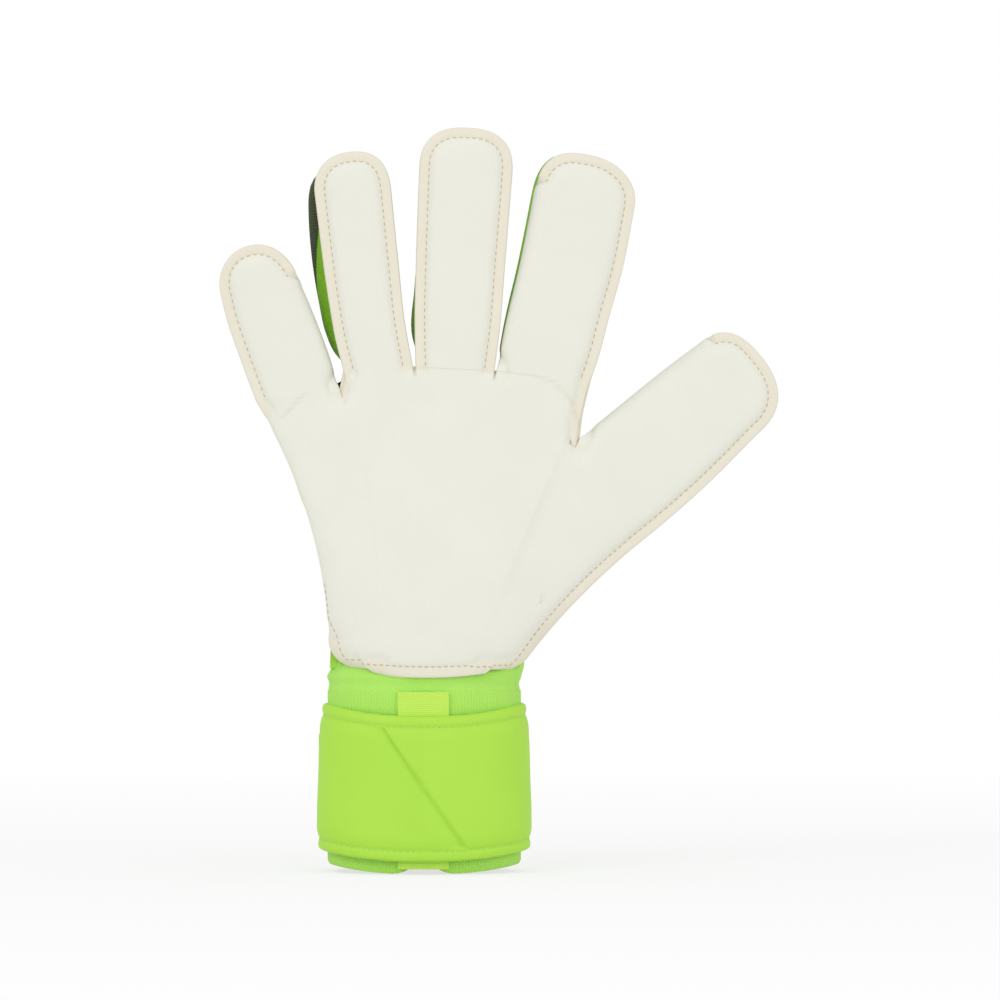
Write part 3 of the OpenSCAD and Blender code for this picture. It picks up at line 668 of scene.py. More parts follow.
def hand_latex(stalls):
    """The palm: one cushioned sheet from the wrist to the fold lines."""
    top, top_trim = palm_top(stalls)
    top_inner, _ = palm_top(stalls, True)
    ts, x, z = palm_places(stalls, top)
    t = ts[:, None]
    here = np.stack([x, z], -1)
    plain = palm_face(x, t)
    # flanged round its lower edge, its outer sides and the free edges between the stalls
    little_right = stalls["little"].place(stalls["little"].edge(1, 0.0), 0, 0)[[0, 2]]
    ring_left = stalls["ring"].place(stalls["ring"].edge(-1, 0.0), 0, 0)[[0, 2]]
    outline = np.vstack([here[::-1, 0], here[0], here[:, -1]])
    gap = np.minimum.reduce([away(here, line) for line in
                             (outline, web_line(stalls), np.array([little_right, ring_left]))])
    thin = lerp(0.55, 1.0, smooth(t * PALM_HEIGHT / 26))
    deep = flange_depth(gap)
    deep[0] = deep[:, 0] = deep[:, -1] = FLANGED[0][1]
    deep_inner = flange_depth(gap, True)
    trim = (gap < 3.5).astype(float)
    # below the little finger the latex rolls round the hand's side instead
    wrap = smooth((0.965 - ts) / 0.1) * smooth((ts - 0.1) / 0.1)
    rolled, sides = np.array(ROLLED, float), len(FLANGED)
    deep[:, :sides] = lerp(deep[:, :sides], rolled[None, :, 1] * 0.62, wrap[:, None])
    deep_inner[:, :sides] = lerp(deep_inner[:, :sides], 7.6, wrap[:, None])
    x[:, :sides] += wrap[:, None] * (rolled[:, 0] - np.array(FLANGED)[:, 0])[None, :]
    trim[:, :sides * 2] *= 1 - smooth(wrap * 2)[:, None]
    seam_gap = np.minimum.reduce([away(here, line) for line in palm_seams(stalls)])
    seam = np.exp(-(seam_gap / 0.6) ** 2)
    deep = deep + bpy.context.scene.glove_sewing.seam_depth / MM * np.exp(-(seam_gap / 0.9) ** 2)
    y = plain + deep * thin
    y_inner = np.maximum(plain + deep_inner * thin, y)
    # the last rows take the stalls' own sections
    below = np.linalg.norm(here - here[-1], axis=-1)
    share = 1 - smooth(below / 5.0)
    y = lerp(y, top[None, :, 1], share)
    y_inner = lerp(y_inner, top_inner[None, :, 1], share)
    trim = np.where(below < 1.3, top_trim[None, :], trim)
    outer = np.stack([x, y, z], -1)
    inner = np.stack([x, y_inner, z], -1)
    obj = sheet_piece("palm_latex_sheet", outer, inner, MATERIALS["latex"],
                      maps=np.stack([x, z], -1), values={"trim": trim, "seam": seam}, angle=60)
    belongs(obj, "palm_latex", body="hand")
    palm_stitches(outer)
    return outer


def palm_stitches(outer):
    """Thread round the palm's foot and up its thumb side; the left corner is turned in."""
    sewn, corner = TRIM_COLUMNS, 30
    right = outer.shape[1] - 1 - sewn
    foot_and_thumb = np.vstack([outer[sewn, corner:right], outer[sewn:-1, right]])
    left = np.vstack([outer[sewn:corner, sewn][::-1], outer[sewn, sewn:corner + 1]])
    thread = stitches("palm_stitches", [foot_and_thumb, left], (0, -1, 0), "pale_thread")
    belongs(thread, body="hand")


def panel_top(stalls, wall):
    """The backhand's upper edge along the fold lines, from the thumb to the little finger."""
    rows = []
    for name in ["thumb"] + FINGERS[::-1]:
        stall = stalls[name]
        row = back_row(stall, 0.0, wall)
        if name == "thumb":
            side = stall.edge(1, 0.0, FLANGE_W + wall)
            rows.append(stall.place(np.full(4, side), np.linspace(SEAM_Y, SEAM_Y + GUSSET_D * 0.9, 4), 0.0))
        rows.append(row)
        if name == "thumb":
            edge = web_line(stalls)[::-1][1:-1]
            depth = np.full(len(edge), SEAM_Y + GUSSET_D + BACK_T - wall)
            rows.append(np.stack([edge[:, 0] - FLANGE_W, depth, edge[:, 1]], -1))
        if name == "little":
            side = stall.edge(-1, 0.0, FLANGE_W + wall)
            rows.append(stall.place(np.full(4, side), np.linspace(SEAM_Y + GUSSET_D * 0.9, SEAM_Y, 4), 0.0))
    return np.vstack(rows)


def wrist(angle, half_x, half_y, power=0.85):
    """A point of the wrist's rounded outline, from the front's middle towards the thumb."""
    s, c = np.sin(angle), np.cos(angle)
    return half_x * np.sign(s) * np.abs(s) ** power, -half_y * np.sign(c) * np.abs(c) ** power


def hand_panel(stalls):
    """The padded backhand, with sewn channels that fan out from the wrist."""
    t = np.concatenate([np.linspace(0, 0.9, 70), np.linspace(0.912, 1, 12)])[:, None]
    channel = bpy.context.scene.glove_sewing.channel_depth / MM
    grids = []
    for wall in (0.0, BACK_T):
        top = panel_top(stalls, wall)
        n = len(top)
        u = np.arange(n) / (n - 1)
        q = math.pi * u
        c = np.cos(q)
        foot_x = np.sign(c) * np.abs(c) ** 0.85 * (FOOT_HALF - 0.5 - wall)
        foot_y = SEAM_Y + (CUFF["y"] - SEAM_Y - wall) * np.sin(q) ** 0.85
        waist = 4 * t * (1 - t) * lerp(-WAIST[1], WAIST[0], u)[None, :]
        from_side = np.minimum(np.arange(n), n - 1 - np.arange(n))
        near_edge = smooth(from_side / 22)
        level = lerp(top[:, 1], np.where(from_side < 6, top[:, 1], BACK_Y - wall), near_edge)
        top_y = lerp(level[None, :], top[None, :, 1], smooth((t - 0.86) / 0.14))
        # below the little finger the padding stands out past the latex
        proud = 2.4 * smooth((t - 0.4) / 0.25) * (1 - smooth((t - 0.86) / 0.1)) * smooth((u - 0.8) / 0.15)
        x = lerp(foot_x[None, :], top[None, :, 0], t) + waist - proud
        y = lerp(foot_y[None, :], top_y, t)
        z = lerp(PANEL_FOOT_Z, top[None, :, 2], t)
        if not wall:
            here = np.stack([x, z], -1)
            lines = [line_of((0, 82), (-16, 112), (-30, 150), stalls["little"].place(15, 0, -6)[[0, 2]]),
                     line_of((4, 82), (-2, 118), (-8, 152), (-3, 184)),
                     line_of((8, 82), (14, 118), (24, 150), (27, 184)),
                     line_of((14, 84), (32, 110), (46, 132), (56, 158))]
            for line in lines:
                y = y - channel * np.exp(-(away(here, line) / 1.5) ** 2) * near_edge[None, :]
            rise = np.minimum.reduce([away(here, line) for line in lines])
            y = y + 0.5 * smooth(rise / 7) * near_edge[None, :] * smooth((1 - t) / 0.08)
        grids.append(np.stack([x, y, z], -1))
    obj = sheet_piece("backhand_padding", grids[0], grids[1], MATERIALS["back"], maps=grids[0][..., [0, 2]],
                      values={"side": np.zeros((1, 1))}, angle=60)
    return belongs(obj, "backhand_panel", body="hand")


def hand_lining(palm):
    """Terry lining behind the palm, clear of its seams."""
    rows = palm[14:-16:3, 14:-14:4]
    face = rows + (0, LATEX_T + 1.4, 0)
    obj = sheet_piece("palm_terry", face, face + (0, 0.9, 0), MATERIALS["terry"], maps=face[..., [0, 2]])
    return belongs(obj, "palm_lining", body="hand")


def webs(stalls):
    """Saddles between the finger roots, and the stretch gusset beside the thumb."""
    lo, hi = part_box("finger_web")
    front, back = lo.y / MM, hi.y / MM
    pairs = [("little", "ring"), ("ring", "middle"), ("middle", "index")]
    points, faces = np.zeros((0, 3)), []
    for left, right in pairs:
        a = stalls[left].place(stalls[left].edge(1, 0.0, FLANGE_W), 0, 0)
        b = stalls[right].place(stalls[right].edge(-1, 0.0, FLANGE_W), 0, 0)
        v = np.linspace(0, 1, 13)
        across = a[None, :] + (b - a)[None, :] * v[:, None]
        top = across[:, 2] + 0.6 - 2.6 * np.sin(math.pi * v)
        ys = np.linspace(front, back, 6)
        upper = np.array([[(across[m, 0], y, top[m] - 0.4 * math.sin(math.pi * j / 5)) for m in range(13)]
                          for j, y in enumerate(ys)])
        lower = upper.copy()
        lower[..., 2] = min(a[2], b[2]) - 4.5
        made, found = thick(upper.reshape(-1, 3), lower.reshape(-1, 3), grid_faces(6, 13))
        faces += [tuple(k + len(points) for k in f) for f in found]
        points = np.vstack([points, made])
    saddle = piece("finger_web_cloth", points, faces, MATERIALS["gusset"], points[:, [0, 1]])
    belongs(saddle, "finger_web", body="hand")
    edge = web_line(stalls)[::-1][1:-1]
    v = np.linspace(0, 1, 9)
    sheets = []
    for inset in (0.0, 1.4):
        sheets.append(np.array([[(p[0] - FLANGE_W - inset + 0.8 * math.sin(math.pi * w),
                                  lerp(front, back, w), p[1]) for w in v] for p in edge[::-1]]))
    obj = sheet_piece("thumb_web_cloth", sheets[0], sheets[1], MATERIALS["gusset"],
                      maps=sheets[0][..., [1, 2]])
    return belongs(obj, "thumb_web", body="hand")


# ---------------------------------------------------------------- the cuff and the strap

def tube(angles, heights, half, wall):
    """Rings of points round the wrist at each height; half gives their half sizes at a height."""
    rings = []
    for z in heights:
        half_x, half_y = half(z)
        x, y = wrist(angles, half_x - wall, half_y - wall)
        rings.append(np.stack([x, y, np.broadcast_to(z, x.shape)], -1))
    return np.array(rings)


def around(angles, half=36.5):
    """Distance round the wrist for each angle, as the pattern needs it."""
    return angles * half * 0.86


def yoke():
    """Knit yoke between the hand and the elastic, gathered a little, and tucked in under the latex."""
    angles = np.linspace(0, 2 * math.pi, 181)[:-1]
    heights = np.concatenate([np.linspace(CUFF["height"] - 1.2, 78, 14), np.linspace(79, YOKE["top"], 8)])

    def tuck(z):
        return YOKE["tuck"] * smooth((z - 75) / 7)

    def half(z):
        pinch = 0.3 + 0.5 * math.exp(-((z - 71.0) / 1.4) ** 2)
        wide = 1.2 * smooth((z - 70) / 9)
        return CUFF["x"] - pinch + wide, CUFF["y"] - pinch - tuck(z)
    outer, inner = (tube(angles, heights, half, wall) for wall in (0.0, YOKE["wall"]))
    back = np.cos(angles) < 0
    for rings in (outer, inner):
        # only the front is tucked in, and the left side is drawn in above the elastic
        rings[:, back, 1] += tuck(heights)[:, None] * np.abs(np.cos(angles[back])) ** CUFF["power"]
        narrow = np.where(rings[..., 0] < 0, 0.935, 1.01)
        rings[..., 0] *= lerp(1, narrow, smooth((rings[..., 2] - 73) / 5))
    gathers = np.sin(np.clip((heights[:, None] - heights[0]) / 9.0, 0, 1) * math.pi)
    ripple = 0.2 * np.sin(angles * 23) * gathers
    outer[..., :2] *= 1 + ripple[..., None] / 36
    maps = np.stack(np.meshgrid(around(angles), heights), -1)
    obj = sheet_piece("yoke_knit", outer, inner, MATERIALS["knit"], closed=True, maps=maps)
    return belongs(obj, "cuff_yoke", body="hand")


def slit_angle(half_width):
    """The angle round the wrist at a distance across from the front's middle."""
    return math.asin((half_width / CUFF["x"]) ** (1 / CUFF["power"]))


def elastic():
    """Ribbed elastic, open down the front, its lower corners rounded into two lobes."""
    start = slit_angle(CUFF["slit"])
    lobe = math.radians(12)
    near = start + lobe * (1 - np.cos(np.linspace(0, math.pi / 2, 12)))
    angles = np.concatenate([near, np.linspace(near[-1], 2 * math.pi - near[-1], 150)[1:-1],
                             2 * math.pi - near[::-1]])
    front = np.minimum(angles, 2 * math.pi - angles)
    q = (front - start) / lobe
    foot = CUFF["lobe"] * (1 - arc(1 - np.clip(q, 0, 1)))
    foot = foot + 1.6 * (1 - np.cos(2 * np.minimum(front, math.pi - front)))
    shares = np.concatenate([np.linspace(0, 0.1, 6), np.linspace(0.15, 0.95, 22), np.linspace(0.97, 1, 4)])
    sheets = []
    for wall in (0.0, CUFF["elastic"]):
        x, y = wrist(angles, CUFF["x"] - wall, CUFF["y"] - wall)
        z = lerp(foot[None, :], CUFF["height"], shares[:, None])
        sheets.append(np.stack([np.broadcast_to(x, z.shape), np.broadcast_to(y, z.shape), z], -1))
    outer, inner = sheets
    edge = np.minimum(outer[..., 2] - foot[None, :], CUFF["height"] - outer[..., 2])
    soften = 0.5 * (1 - arc(1 - np.clip(edge / 0.8, 0, 1)))
    outer[..., :2] *= 1 - soften[..., None] / 30
    maps = np.stack([np.broadcast_to(around(angles), outer.shape[:2]), outer[..., 2]], -1)
    obj = sheet_piece("elastic_band", outer, inner, MATERIALS["elastic"], maps=maps)
    return belongs(obj, "wrist_elastic", body="hand")


def tab_over_slit():
    """Woven tab sewn over the slit."""
    half = slit_angle(CUFF["tab"])
    angles = np.linspace(-half, half, 17)
    heights = np.linspace(2.0, CUFF["height"] - 0.6, 40)
    sheets = [tube(angles, heights, lambda z: (CUFF["x"] + out, CUFF["y"] + out), 0.0) for out in (1.3, 0.3)]
    maps = np.stack(np.meshgrid(around(angles), heights), -1)
    obj = sheet_piece("slit_tab", sheets[0], sheets[1], MATERIALS["tab"], maps=maps)
    return belongs(obj, "front_tab", body="hand")


def strap_half(z):
    """Half sizes of the strap's inner face, a little wider at its lower edge."""
    share = np.clip((z - STRAP["low"]) / STRAP["height"], 0, 1)
    flare = lerp(0.5, -1.1, share)
    return CUFF["x"] + STRAP["slip"] + flare, CUFF["y"] + STRAP["deep"] + flare * 0.3


def strap_lift(v, hem):
    """Thickness of the strap over its width: a flat hem at each edge and a full middle."""
    edge = np.minimum(v, 1 - v) * STRAP["height"]
    full = STRAP["thick"]
    return curve(edge, [(0, 1.6), (0.5, 2.4), (1.2, 2.7), (hem - 0.9, 2.7), (hem, 2.3), (hem + 0.9, 2.8),
                        (hem + 2.6, 3.3), (12, full), (STRAP["height"] / 2, full)])


def strap_place(angles, v):
    """Heights of the strap's points: its edges dip at the front and rise at the sides."""
    front = (angles + math.pi) % (2 * math.pi) - math.pi
    rise = 1.5 * (1 - np.cos(2 * np.minimum(math.pi / 2, np.abs(front))))
    dip = 3.6 * np.clip(np.cos(front), 0, 1) ** 2
    low = STRAP["low"] - dip
    high = STRAP["low"] + STRAP["height"] + rise - 1.2 * np.clip(np.cos(front), 0, 1) ** 2
    return lerp(low, high, v)


def strap_band():
    """The wide strap round the wrist, with a slanting groove pressed across its front."""
    sewing = bpy.context.scene.glove_sewing
    hem = sewing.hem / MM
    angles = np.linspace(0, 2 * math.pi, 361)[:-1]
    v = np.concatenate([np.linspace(0, 0.13, 26), np.linspace(0.15, 0.85, 64), np.linspace(0.87, 1, 26)])
    z = strap_place(angles[None, :], v[:, None])
    half_x, half_y = strap_half(z)
    lift = np.broadcast_to(strap_lift(v, hem)[:, None], z.shape).copy()
    x, y = wrist(angles[None, :], half_x, half_y)
    # the groove: a crisp fold on its thumb side and a long slope on the other
    line_x = np.interp(v, [0.07, 0.94], [14.9, -15.6])[:, None]
    gap = (x - line_x) * 0.87
    within = smooth((v[:, None] - 0.075) / 0.03) * smooth((0.925 - v[:, None]) / 0.03)
    facing = (np.cos(angles)[None, :] > 0.2) * within
    pressed = np.where(gap > 0, np.exp(-(gap / 0.6) ** 2), np.exp(-(np.abs(gap) / 3.2) ** 1.2))
    groove = sewing.groove_depth / MM * pressed
    lift -= groove * facing
    outer_x, outer_y = wrist(angles[None, :], half_x + lift, half_y + lift)
    outer = np.stack([outer_x, outer_y, z], -1)
    inner = np.stack([x, y, z], -1)
    maps = np.stack([np.broadcast_to(around(angles, 40), z.shape), z], -1)
    obj = sheet_piece("strap_wrap", outer, inner, MATERIALS["strap"], closed=True, maps=maps, angle=60)
    belongs(obj, "strap_band", body="hand")
    rows = []
    for share in (hem / STRAP["height"], 1 - hem / STRAP["height"]):
        row = outer[np.argmin(np.abs(v - share))]
        rows.append(np.vstack([row, row[:1]]))
    thread = stitches("strap_stitches", rows, lambda path: path * (1, 2.2, 0), "lime_thread", 1.3)
    belongs(thread, body="hand")


def plate(start, end, near, far, margin, columns, rows=24):
    """A curved plate on the strap's face between two angles: its outer and inner grids and its map."""
    angles = np.radians(np.linspace(start, end, columns))
    z = np.linspace(STRAP["low"] + margin, STRAP["low"] + STRAP["height"] - margin, rows)[:, None]
    half_x = CUFF["x"] + STRAP["slip"] + STRAP["thick"]
    half_y = CUFF["y"] + STRAP["deep"] + STRAP["thick"]
    grids = []
    for level in (far, near):
        out = np.broadcast_to(level, (rows, columns))
        x, y = wrist(angles[None, :], half_x + out, half_y + out)
        grids.append(np.stack([x, y, np.broadcast_to(z, x.shape)], -1))
    maps = np.stack([np.broadcast_to(around(angles, 40)[None, :], (rows, columns)),
                     np.broadcast_to(z, (rows, columns))], -1)
    return grids[0], grids[1], maps


def pillow(rows, columns, rounding):
    """Height of a plate that rounds off at its edges, from 0 to 1."""
    j = np.minimum(np.arange(rows), rows - 1 - np.arange(rows)) / (rows / 2)
    k = np.minimum(np.arange(columns), columns - 1 - np.arange(columns)) / (columns / 2)
    return np.minimum(arc(1 - np.clip(j / rounding, 0, 1))[:, None],
                      arc(1 - np.clip(k / rounding, 0, 1))[None, :])


def closure():
    """Hook and loop, the closing tab and its moulded pull, on the back of the strap."""
    margin, slip = CLOSURE["margin"], STRAP["slip"]
    root, end = CLOSURE["root"], CLOSURE["end"]
    loop_face = slip + CLOSURE["loop_t"]
    hook_back = loop_face + slip
    hook_face = hook_back + CLOSURE["hook_t"]
    tab_back = hook_face + slip
    tab_face = tab_back + CLOSURE["tab_t"]
    outer, inner, maps = plate(*CLOSURE["loop"], slip - 0.2, loop_face, margin + 1, 40)
    belongs(sheet_piece("loop_pile", outer, inner, MATERIALS["loop"], maps=maps),
            "loop_patch", body="hand")
    outer, inner, maps = plate(*CLOSURE["hook"], hook_back, hook_face, margin + 3, 36)
    belongs(sheet_piece("hook_pile", outer, inner, MATERIALS["hook"], maps=maps),
            "hook_patch", body="closing_tab")
    # the tab rises from the strap over its first degrees, and lies over the hooks after them
    rows, columns, ramp = 40, 80, 8
    angle = np.linspace(root, end, columns)
    rising = lerp(slip + 1.0, tab_face, smooth((angle - root) / ramp))
    level = np.where(angle < root + ramp, rising, tab_face)
    low = np.where(angle < root + ramp + 0.4, slip, tab_back)
    far = low + (level - low) * lerp(0.45, 1.0, pillow(rows, columns, 0.16))
    outer, inner, maps = plate(root, end, low, far, margin, columns, rows)
    belongs(sheet_piece("closing_tab_cover", outer, inner, MATERIALS["strap"], maps=maps, angle=60),
            "strap_tab", body="closing_tab")
    # the pull has upright ribs
    rows, columns = 40, 34
    ribs = 0.5 * (0.5 + 0.5 * np.cos(np.linspace(0, 8 * math.pi, columns)))
    shape = pillow(rows, columns, 0.2)
    low, high = hook_back + 0.4, tab_face + 0.4
    far = low + (high - low) * lerp(0.4, 1.0, shape) - 0.5 * (shape > 0.99) * (0.5 - ribs[None, :])
    outer, inner, maps = plate(*CLOSURE["pull"], low, far, margin + 2, columns, rows)
    belongs(sheet_piece("pull_grip", outer, inner, MATERIALS["pull"], maps=maps),
            "strap_pull", body="closing_tab")


# ---------------------------------------------------------------- materials

def paint(colour):
    """A hex colour as linear red, green, blue and alpha."""
    parts = [int(colour[k:k + 2], 16) / 255 for k in (1, 3, 5)]
    return [p / 12.92 if p <= 0.04045 else ((p + 0.055) / 1.055) ** 2.4 for p in parts] + [1.0]


def add(tree, kind, inputs=None, **settings):
    """Adds one node, sets its properties, and sets or links its inputs."""
    made = tree.nodes.new("ShaderNode" + kind)
    for key, value in settings.items():
        setattr(made, key, value)
    for key, value in (inputs or {}).items():
        if isinstance(value, bpy.types.NodeSocket):
            tree.links.new(value, made.inputs[key])
        else:
            made.inputs[key].default_value = value
    return made.outputs


def finish_material(tree, colour, roughness, bump, strength, distance, sheen=0.0, coat=0.0):
    """The surface of every material: colour, roughness and a bump of a real height in metres."""
    normal = add(tree, "Bump", {"Height": bump, "Strength": strength, "Distance": distance})[0]
    surface = add(tree, "BsdfPrincipled", {"Base Color": colour, "Roughness": roughness, "Normal": normal,
                                           "Sheen Weight": sheen, "Coat Weight": coat,
                                           "Specular IOR Level": 0.3})[0]
    out = tree.nodes.new("ShaderNodeOutputMaterial")
    tree.links.new(surface, out.inputs["Surface"])


def new_material(name):
    """A material with an empty node tree."""
    material = bpy.data.materials.new(name)
    material.use_nodes = True
    material.node_tree.nodes.clear()
    return material, material.node_tree


def mix(tree, share, a, b):
    """A mix of two colours, each a socket or a hex colour."""
    a, b = (paint(c) if isinstance(c, str) else c for c in (a, b))
    made = tree.nodes.new("ShaderNodeMix")
    made.data_type = "RGBA"
    for key, value in (("Factor", share), ("A", a), ("B", b)):
        sockets = [s for s in made.inputs if s.name == key and s.enabled]
        if isinstance(value, bpy.types.NodeSocket):
            tree.links.new(value, sockets[0])
        else:
            sockets[0].default_value = value
    return [s for s in made.outputs if s.enabled][0]


def maths(tree, operation, a, b=None, c=None):
    """A sum on sockets or numbers."""
    inputs = {k: v for k, v in enumerate((a, b, c)) if v is not None}
    return add(tree, "Math", inputs, operation=operation)[0]


def pattern(tree):
    """The piece's own map, in millimetres."""
    return add(tree, "UVMap", uv_map="pattern")[0]


def noise(tree, where, scale, detail=3.0):
    return add(tree, "TexNoise", {"Vector": where, "Scale": scale, "Detail": detail})[0]


def number(tree, name):
    """A number kept with the piece's points."""
    return add(tree, "Attribute", attribute_name=name)["Fac"]


def latex_material():
    """Foam latex: off-white, matt and slightly open-pored, its sewn margin creamier."""
    material, tree = new_material("latex foam")
    where = pattern(tree)
    blotch = noise(tree, where, 0.045, 2.0)
    body = mix(tree, blotch, "#e9eadd", "#efeee4")
    trimmed = mix(tree, number(tree, "trim"), body, mix(tree, blotch, "#e9e2cf", "#eee9da"))
    colour = mix(tree, maths(tree, "MULTIPLY", number(tree, "seam"), 0.35), trimmed, "#d9cdb2")
    pores = noise(tree, where, 2.6, 2.0)
    rough = maths(tree, "MULTIPLY_ADD", pores, 0.1, 0.78)
    finish_material(tree, colour, rough, pores, 0.25, 0.0002)
    return material


def woven(tree, where, across, along, slant=0.0):
    """Two crossing sets of threads, with their pitches in millimetres, as a height."""
    split = add(tree, "SeparateXYZ", {0: where})
    u, v = split[0], split[1]
    wave_a = maths(tree, "SINE", maths(tree, "MULTIPLY", u, 2 * math.pi / across))
    wave_b = maths(tree, "SINE", maths(tree, "MULTIPLY_ADD", v, 2 * math.pi / along,
                                       maths(tree, "MULTIPLY", u, slant)))
    return wave_a, wave_b


def spacer_mesh(tree, where):
    """Dark spacer mesh: its colour and the height of its holes."""
    dots = add(tree, "TexVoronoi", {"Vector": where, "Scale": 0.85, "Randomness": 0.1}, feature="F1")[0]
    hole = maths(tree, "LESS_THAN", dots, 0.33)
    return mix(tree, hole, "#39441a", "#1c210f"), dots


def knit_material(name, light, dark, pitch=1.1):
    """Stretch knit: fine columns of loops. The loops are drawn at about twice their real pitch,
    because the real ones would be finer than the picture can show."""
    material, tree = new_material(name)
    where = pattern(tree)
    wave_a, wave_b = woven(tree, where, pitch, pitch * 0.9, 2.6)
    height = maths(tree, "MULTIPLY_ADD", maths(tree, "ABSOLUTE", wave_a), 0.6,
                   maths(tree, "MULTIPLY", wave_b, 0.3))
    blotch = noise(tree, where, 0.08, 3.0)
    share = maths(tree, "MULTIPLY_ADD", height, 0.35, maths(tree, "MULTIPLY", blotch, 0.5))
    colour = mix(tree, share, dark, light)
    mesh, _ = spacer_mesh(tree, where)
    colour = mix(tree, number(tree, "side"), colour, mesh)
    finish_material(tree, colour, 0.85, height, 0.5, 0.00025, sheen=0.1)
    return material


def back_material():
    """Coated backhand fabric with a fine honeycomb, and dark spacer mesh down the fingers' sides."""
    material, tree = new_material("padded backhand")
    where = pattern(tree)
    cells = add(tree, "TexVoronoi", {"Vector": where, "Scale": 0.62, "Randomness": 0.15},
                feature="DISTANCE_TO_EDGE")[0]
    comb = maths(tree, "SMOOTH_MIN", cells, 0.12, 0.08)
    blotch = noise(tree, where, 0.06, 3.0)
    top = mix(tree, blotch, "#9fdf45", "#b0ea52")
    mesh, dots = spacer_mesh(tree, where)
    colour = mix(tree, number(tree, "side"), top, mesh)
    height = maths(tree, "MULTIPLY_ADD", comb, 4.0, maths(tree, "MULTIPLY", dots, 0.6))
    finish_material(tree, colour, 0.6, height, 0.35, 0.0003, sheen=0.1)
    return material


def elastic_material():
    """Ribbed elastic: upright cords 1.1 mm apart with fine crossing threads."""
    material, tree = new_material("ribbed elastic")
    where = pattern(tree)
    wave_a, wave_b = woven(tree, where, 1.1, 0.8)
    height = maths(tree, "MULTIPLY_ADD", wave_a, 0.5, maths(tree, "MULTIPLY", wave_b, 0.18))
    share = maths(tree, "MULTIPLY_ADD", height, 0.3, 0.6)
    colour = mix(tree, share, "#a8e650", "#c0f573")
    finish_material(tree, colour, 0.8, height, 0.6, 0.0003, sheen=0.1)
    return material


def tab_material():
    """Woven tape with crosswise ribs."""
    material, tree = new_material("woven tape")
    where = pattern(tree)
    wave_a, wave_b = woven(tree, where, 0.9, 0.75)
    height = maths(tree, "MULTIPLY_ADD", wave_b, 0.5, maths(tree, "MULTIPLY", wave_a, 0.15))
    colour = mix(tree, maths(tree, "MULTIPLY_ADD", height, 0.3, 0.6), "#bdea50", "#d0f76c")
    finish_material(tree, colour, 0.75, height, 0.5, 0.0002)
    return material


def strap_material():
    """Soft synthetic strap: fine grain, a little silkier than the fabrics."""
    material, tree = new_material("coated strap")
    where = pattern(tree)
    grain = add(tree, "TexVoronoi", {"Vector": where, "Scale": 1.3, "Randomness": 1.0},
                feature="DISTANCE_TO_EDGE")[0]
    broad = noise(tree, where, 0.035, 2.0)
    colour = mix(tree, broad, "#aee347", "#b9ea52")
    rough = maths(tree, "MULTIPLY_ADD", broad, 0.12, 0.5)
    finish_material(tree, colour, rough, grain, 0.12, 0.00015)
    return material


def pile_material(name, light, dark, scale):
    """Hook or loop pile: a dense mat of short fibres."""
    material, tree = new_material(name)
    where = pattern(tree)
    fuzz = noise(tree, where, scale, 4.0)
    finish_material(tree, mix(tree, fuzz, dark, light), 0.95, fuzz, 0.8, 0.0006, sheen=0.2)
    return material


def pull_material():
    """Moulded rubber with a satin face."""
    material, tree = new_material("moulded rubber")
    where = pattern(tree)
    fine = noise(tree, where, 1.8, 2.0)
    finish_material(tree, mix(tree, fine, "#78bd2b", "#83c833"), 0.45, fine, 0.1, 0.0001)
    return material


def thread_material(name, colour, shade):
    """Sewing thread, twisted along its length."""
    material, tree = new_material(name)
    where = add(tree, "TexCoord")["Object"]
    twist = noise(tree, where, 2400.0, 1.0)
    finish_material(tree, mix(tree, twist, shade, colour), 0.6, twist, 0.3, 0.0001, sheen=0.2)
    return material


MATERIALS = {}


def make_materials():
    MATERIALS.update(
        latex=latex_material(),
        back=back_material(),
        gusset=knit_material("stretch gusset", "#93cf1e", "#6fa812"),
        knit=knit_material("yoke knit", "#c6fb7c", "#aae85c"),
        elastic=elastic_material(),
        tab=tab_material(),
        strap=strap_material(),
        loop=pile_material("loop pile", "#93c63f", "#7cb02f", 1.6),
        hook=pile_material("hook pile", "#66704f", "#525c3c", 1.1),
        pull=pull_material(),
        terry=pile_material("terry lining", "#f6f6f0", "#e6e6dc", 0.7),
        pale_thread=thread_material("cream thread", "#d8c7a6", "#b9a685"),
        lime_thread=thread_material("lime thread", "#cdf27d", "#a5d157"),
    )


# ---------------------------------------------------------------- the stage

def camera_at(settings):
    """A long lens, level with the middle of the object, facing the palm."""
    data = bpy.data.cameras.new("camera")
    data.lens = settings.lens
    camera = bpy.data.objects.new("camera", data)
    bpy.context.scene.collection.objects.link(camera)
    camera.location = (settings.aim_x, -settings.distance + FACE_Y * MM, settings.aim_z)
    camera.rotation_euler = (math.pi / 2, 0, 0)
    bpy.context.scene.camera = camera


def lamp(name, place, aim, size, power):
    """A round area lamp that faces the aim."""
    data = bpy.data.lights.new(name, "AREA")
    data.shape = "DISK"
    data.size = size
    data.energy = power
    made = bpy.data.objects.new(name, data)
    bpy.context.scene.collection.objects.link(made)
    made.location = place
    made.rotation_euler = (Vector(aim) - Vector(place)).to_track_quat("-Z", "Y").to_euler()


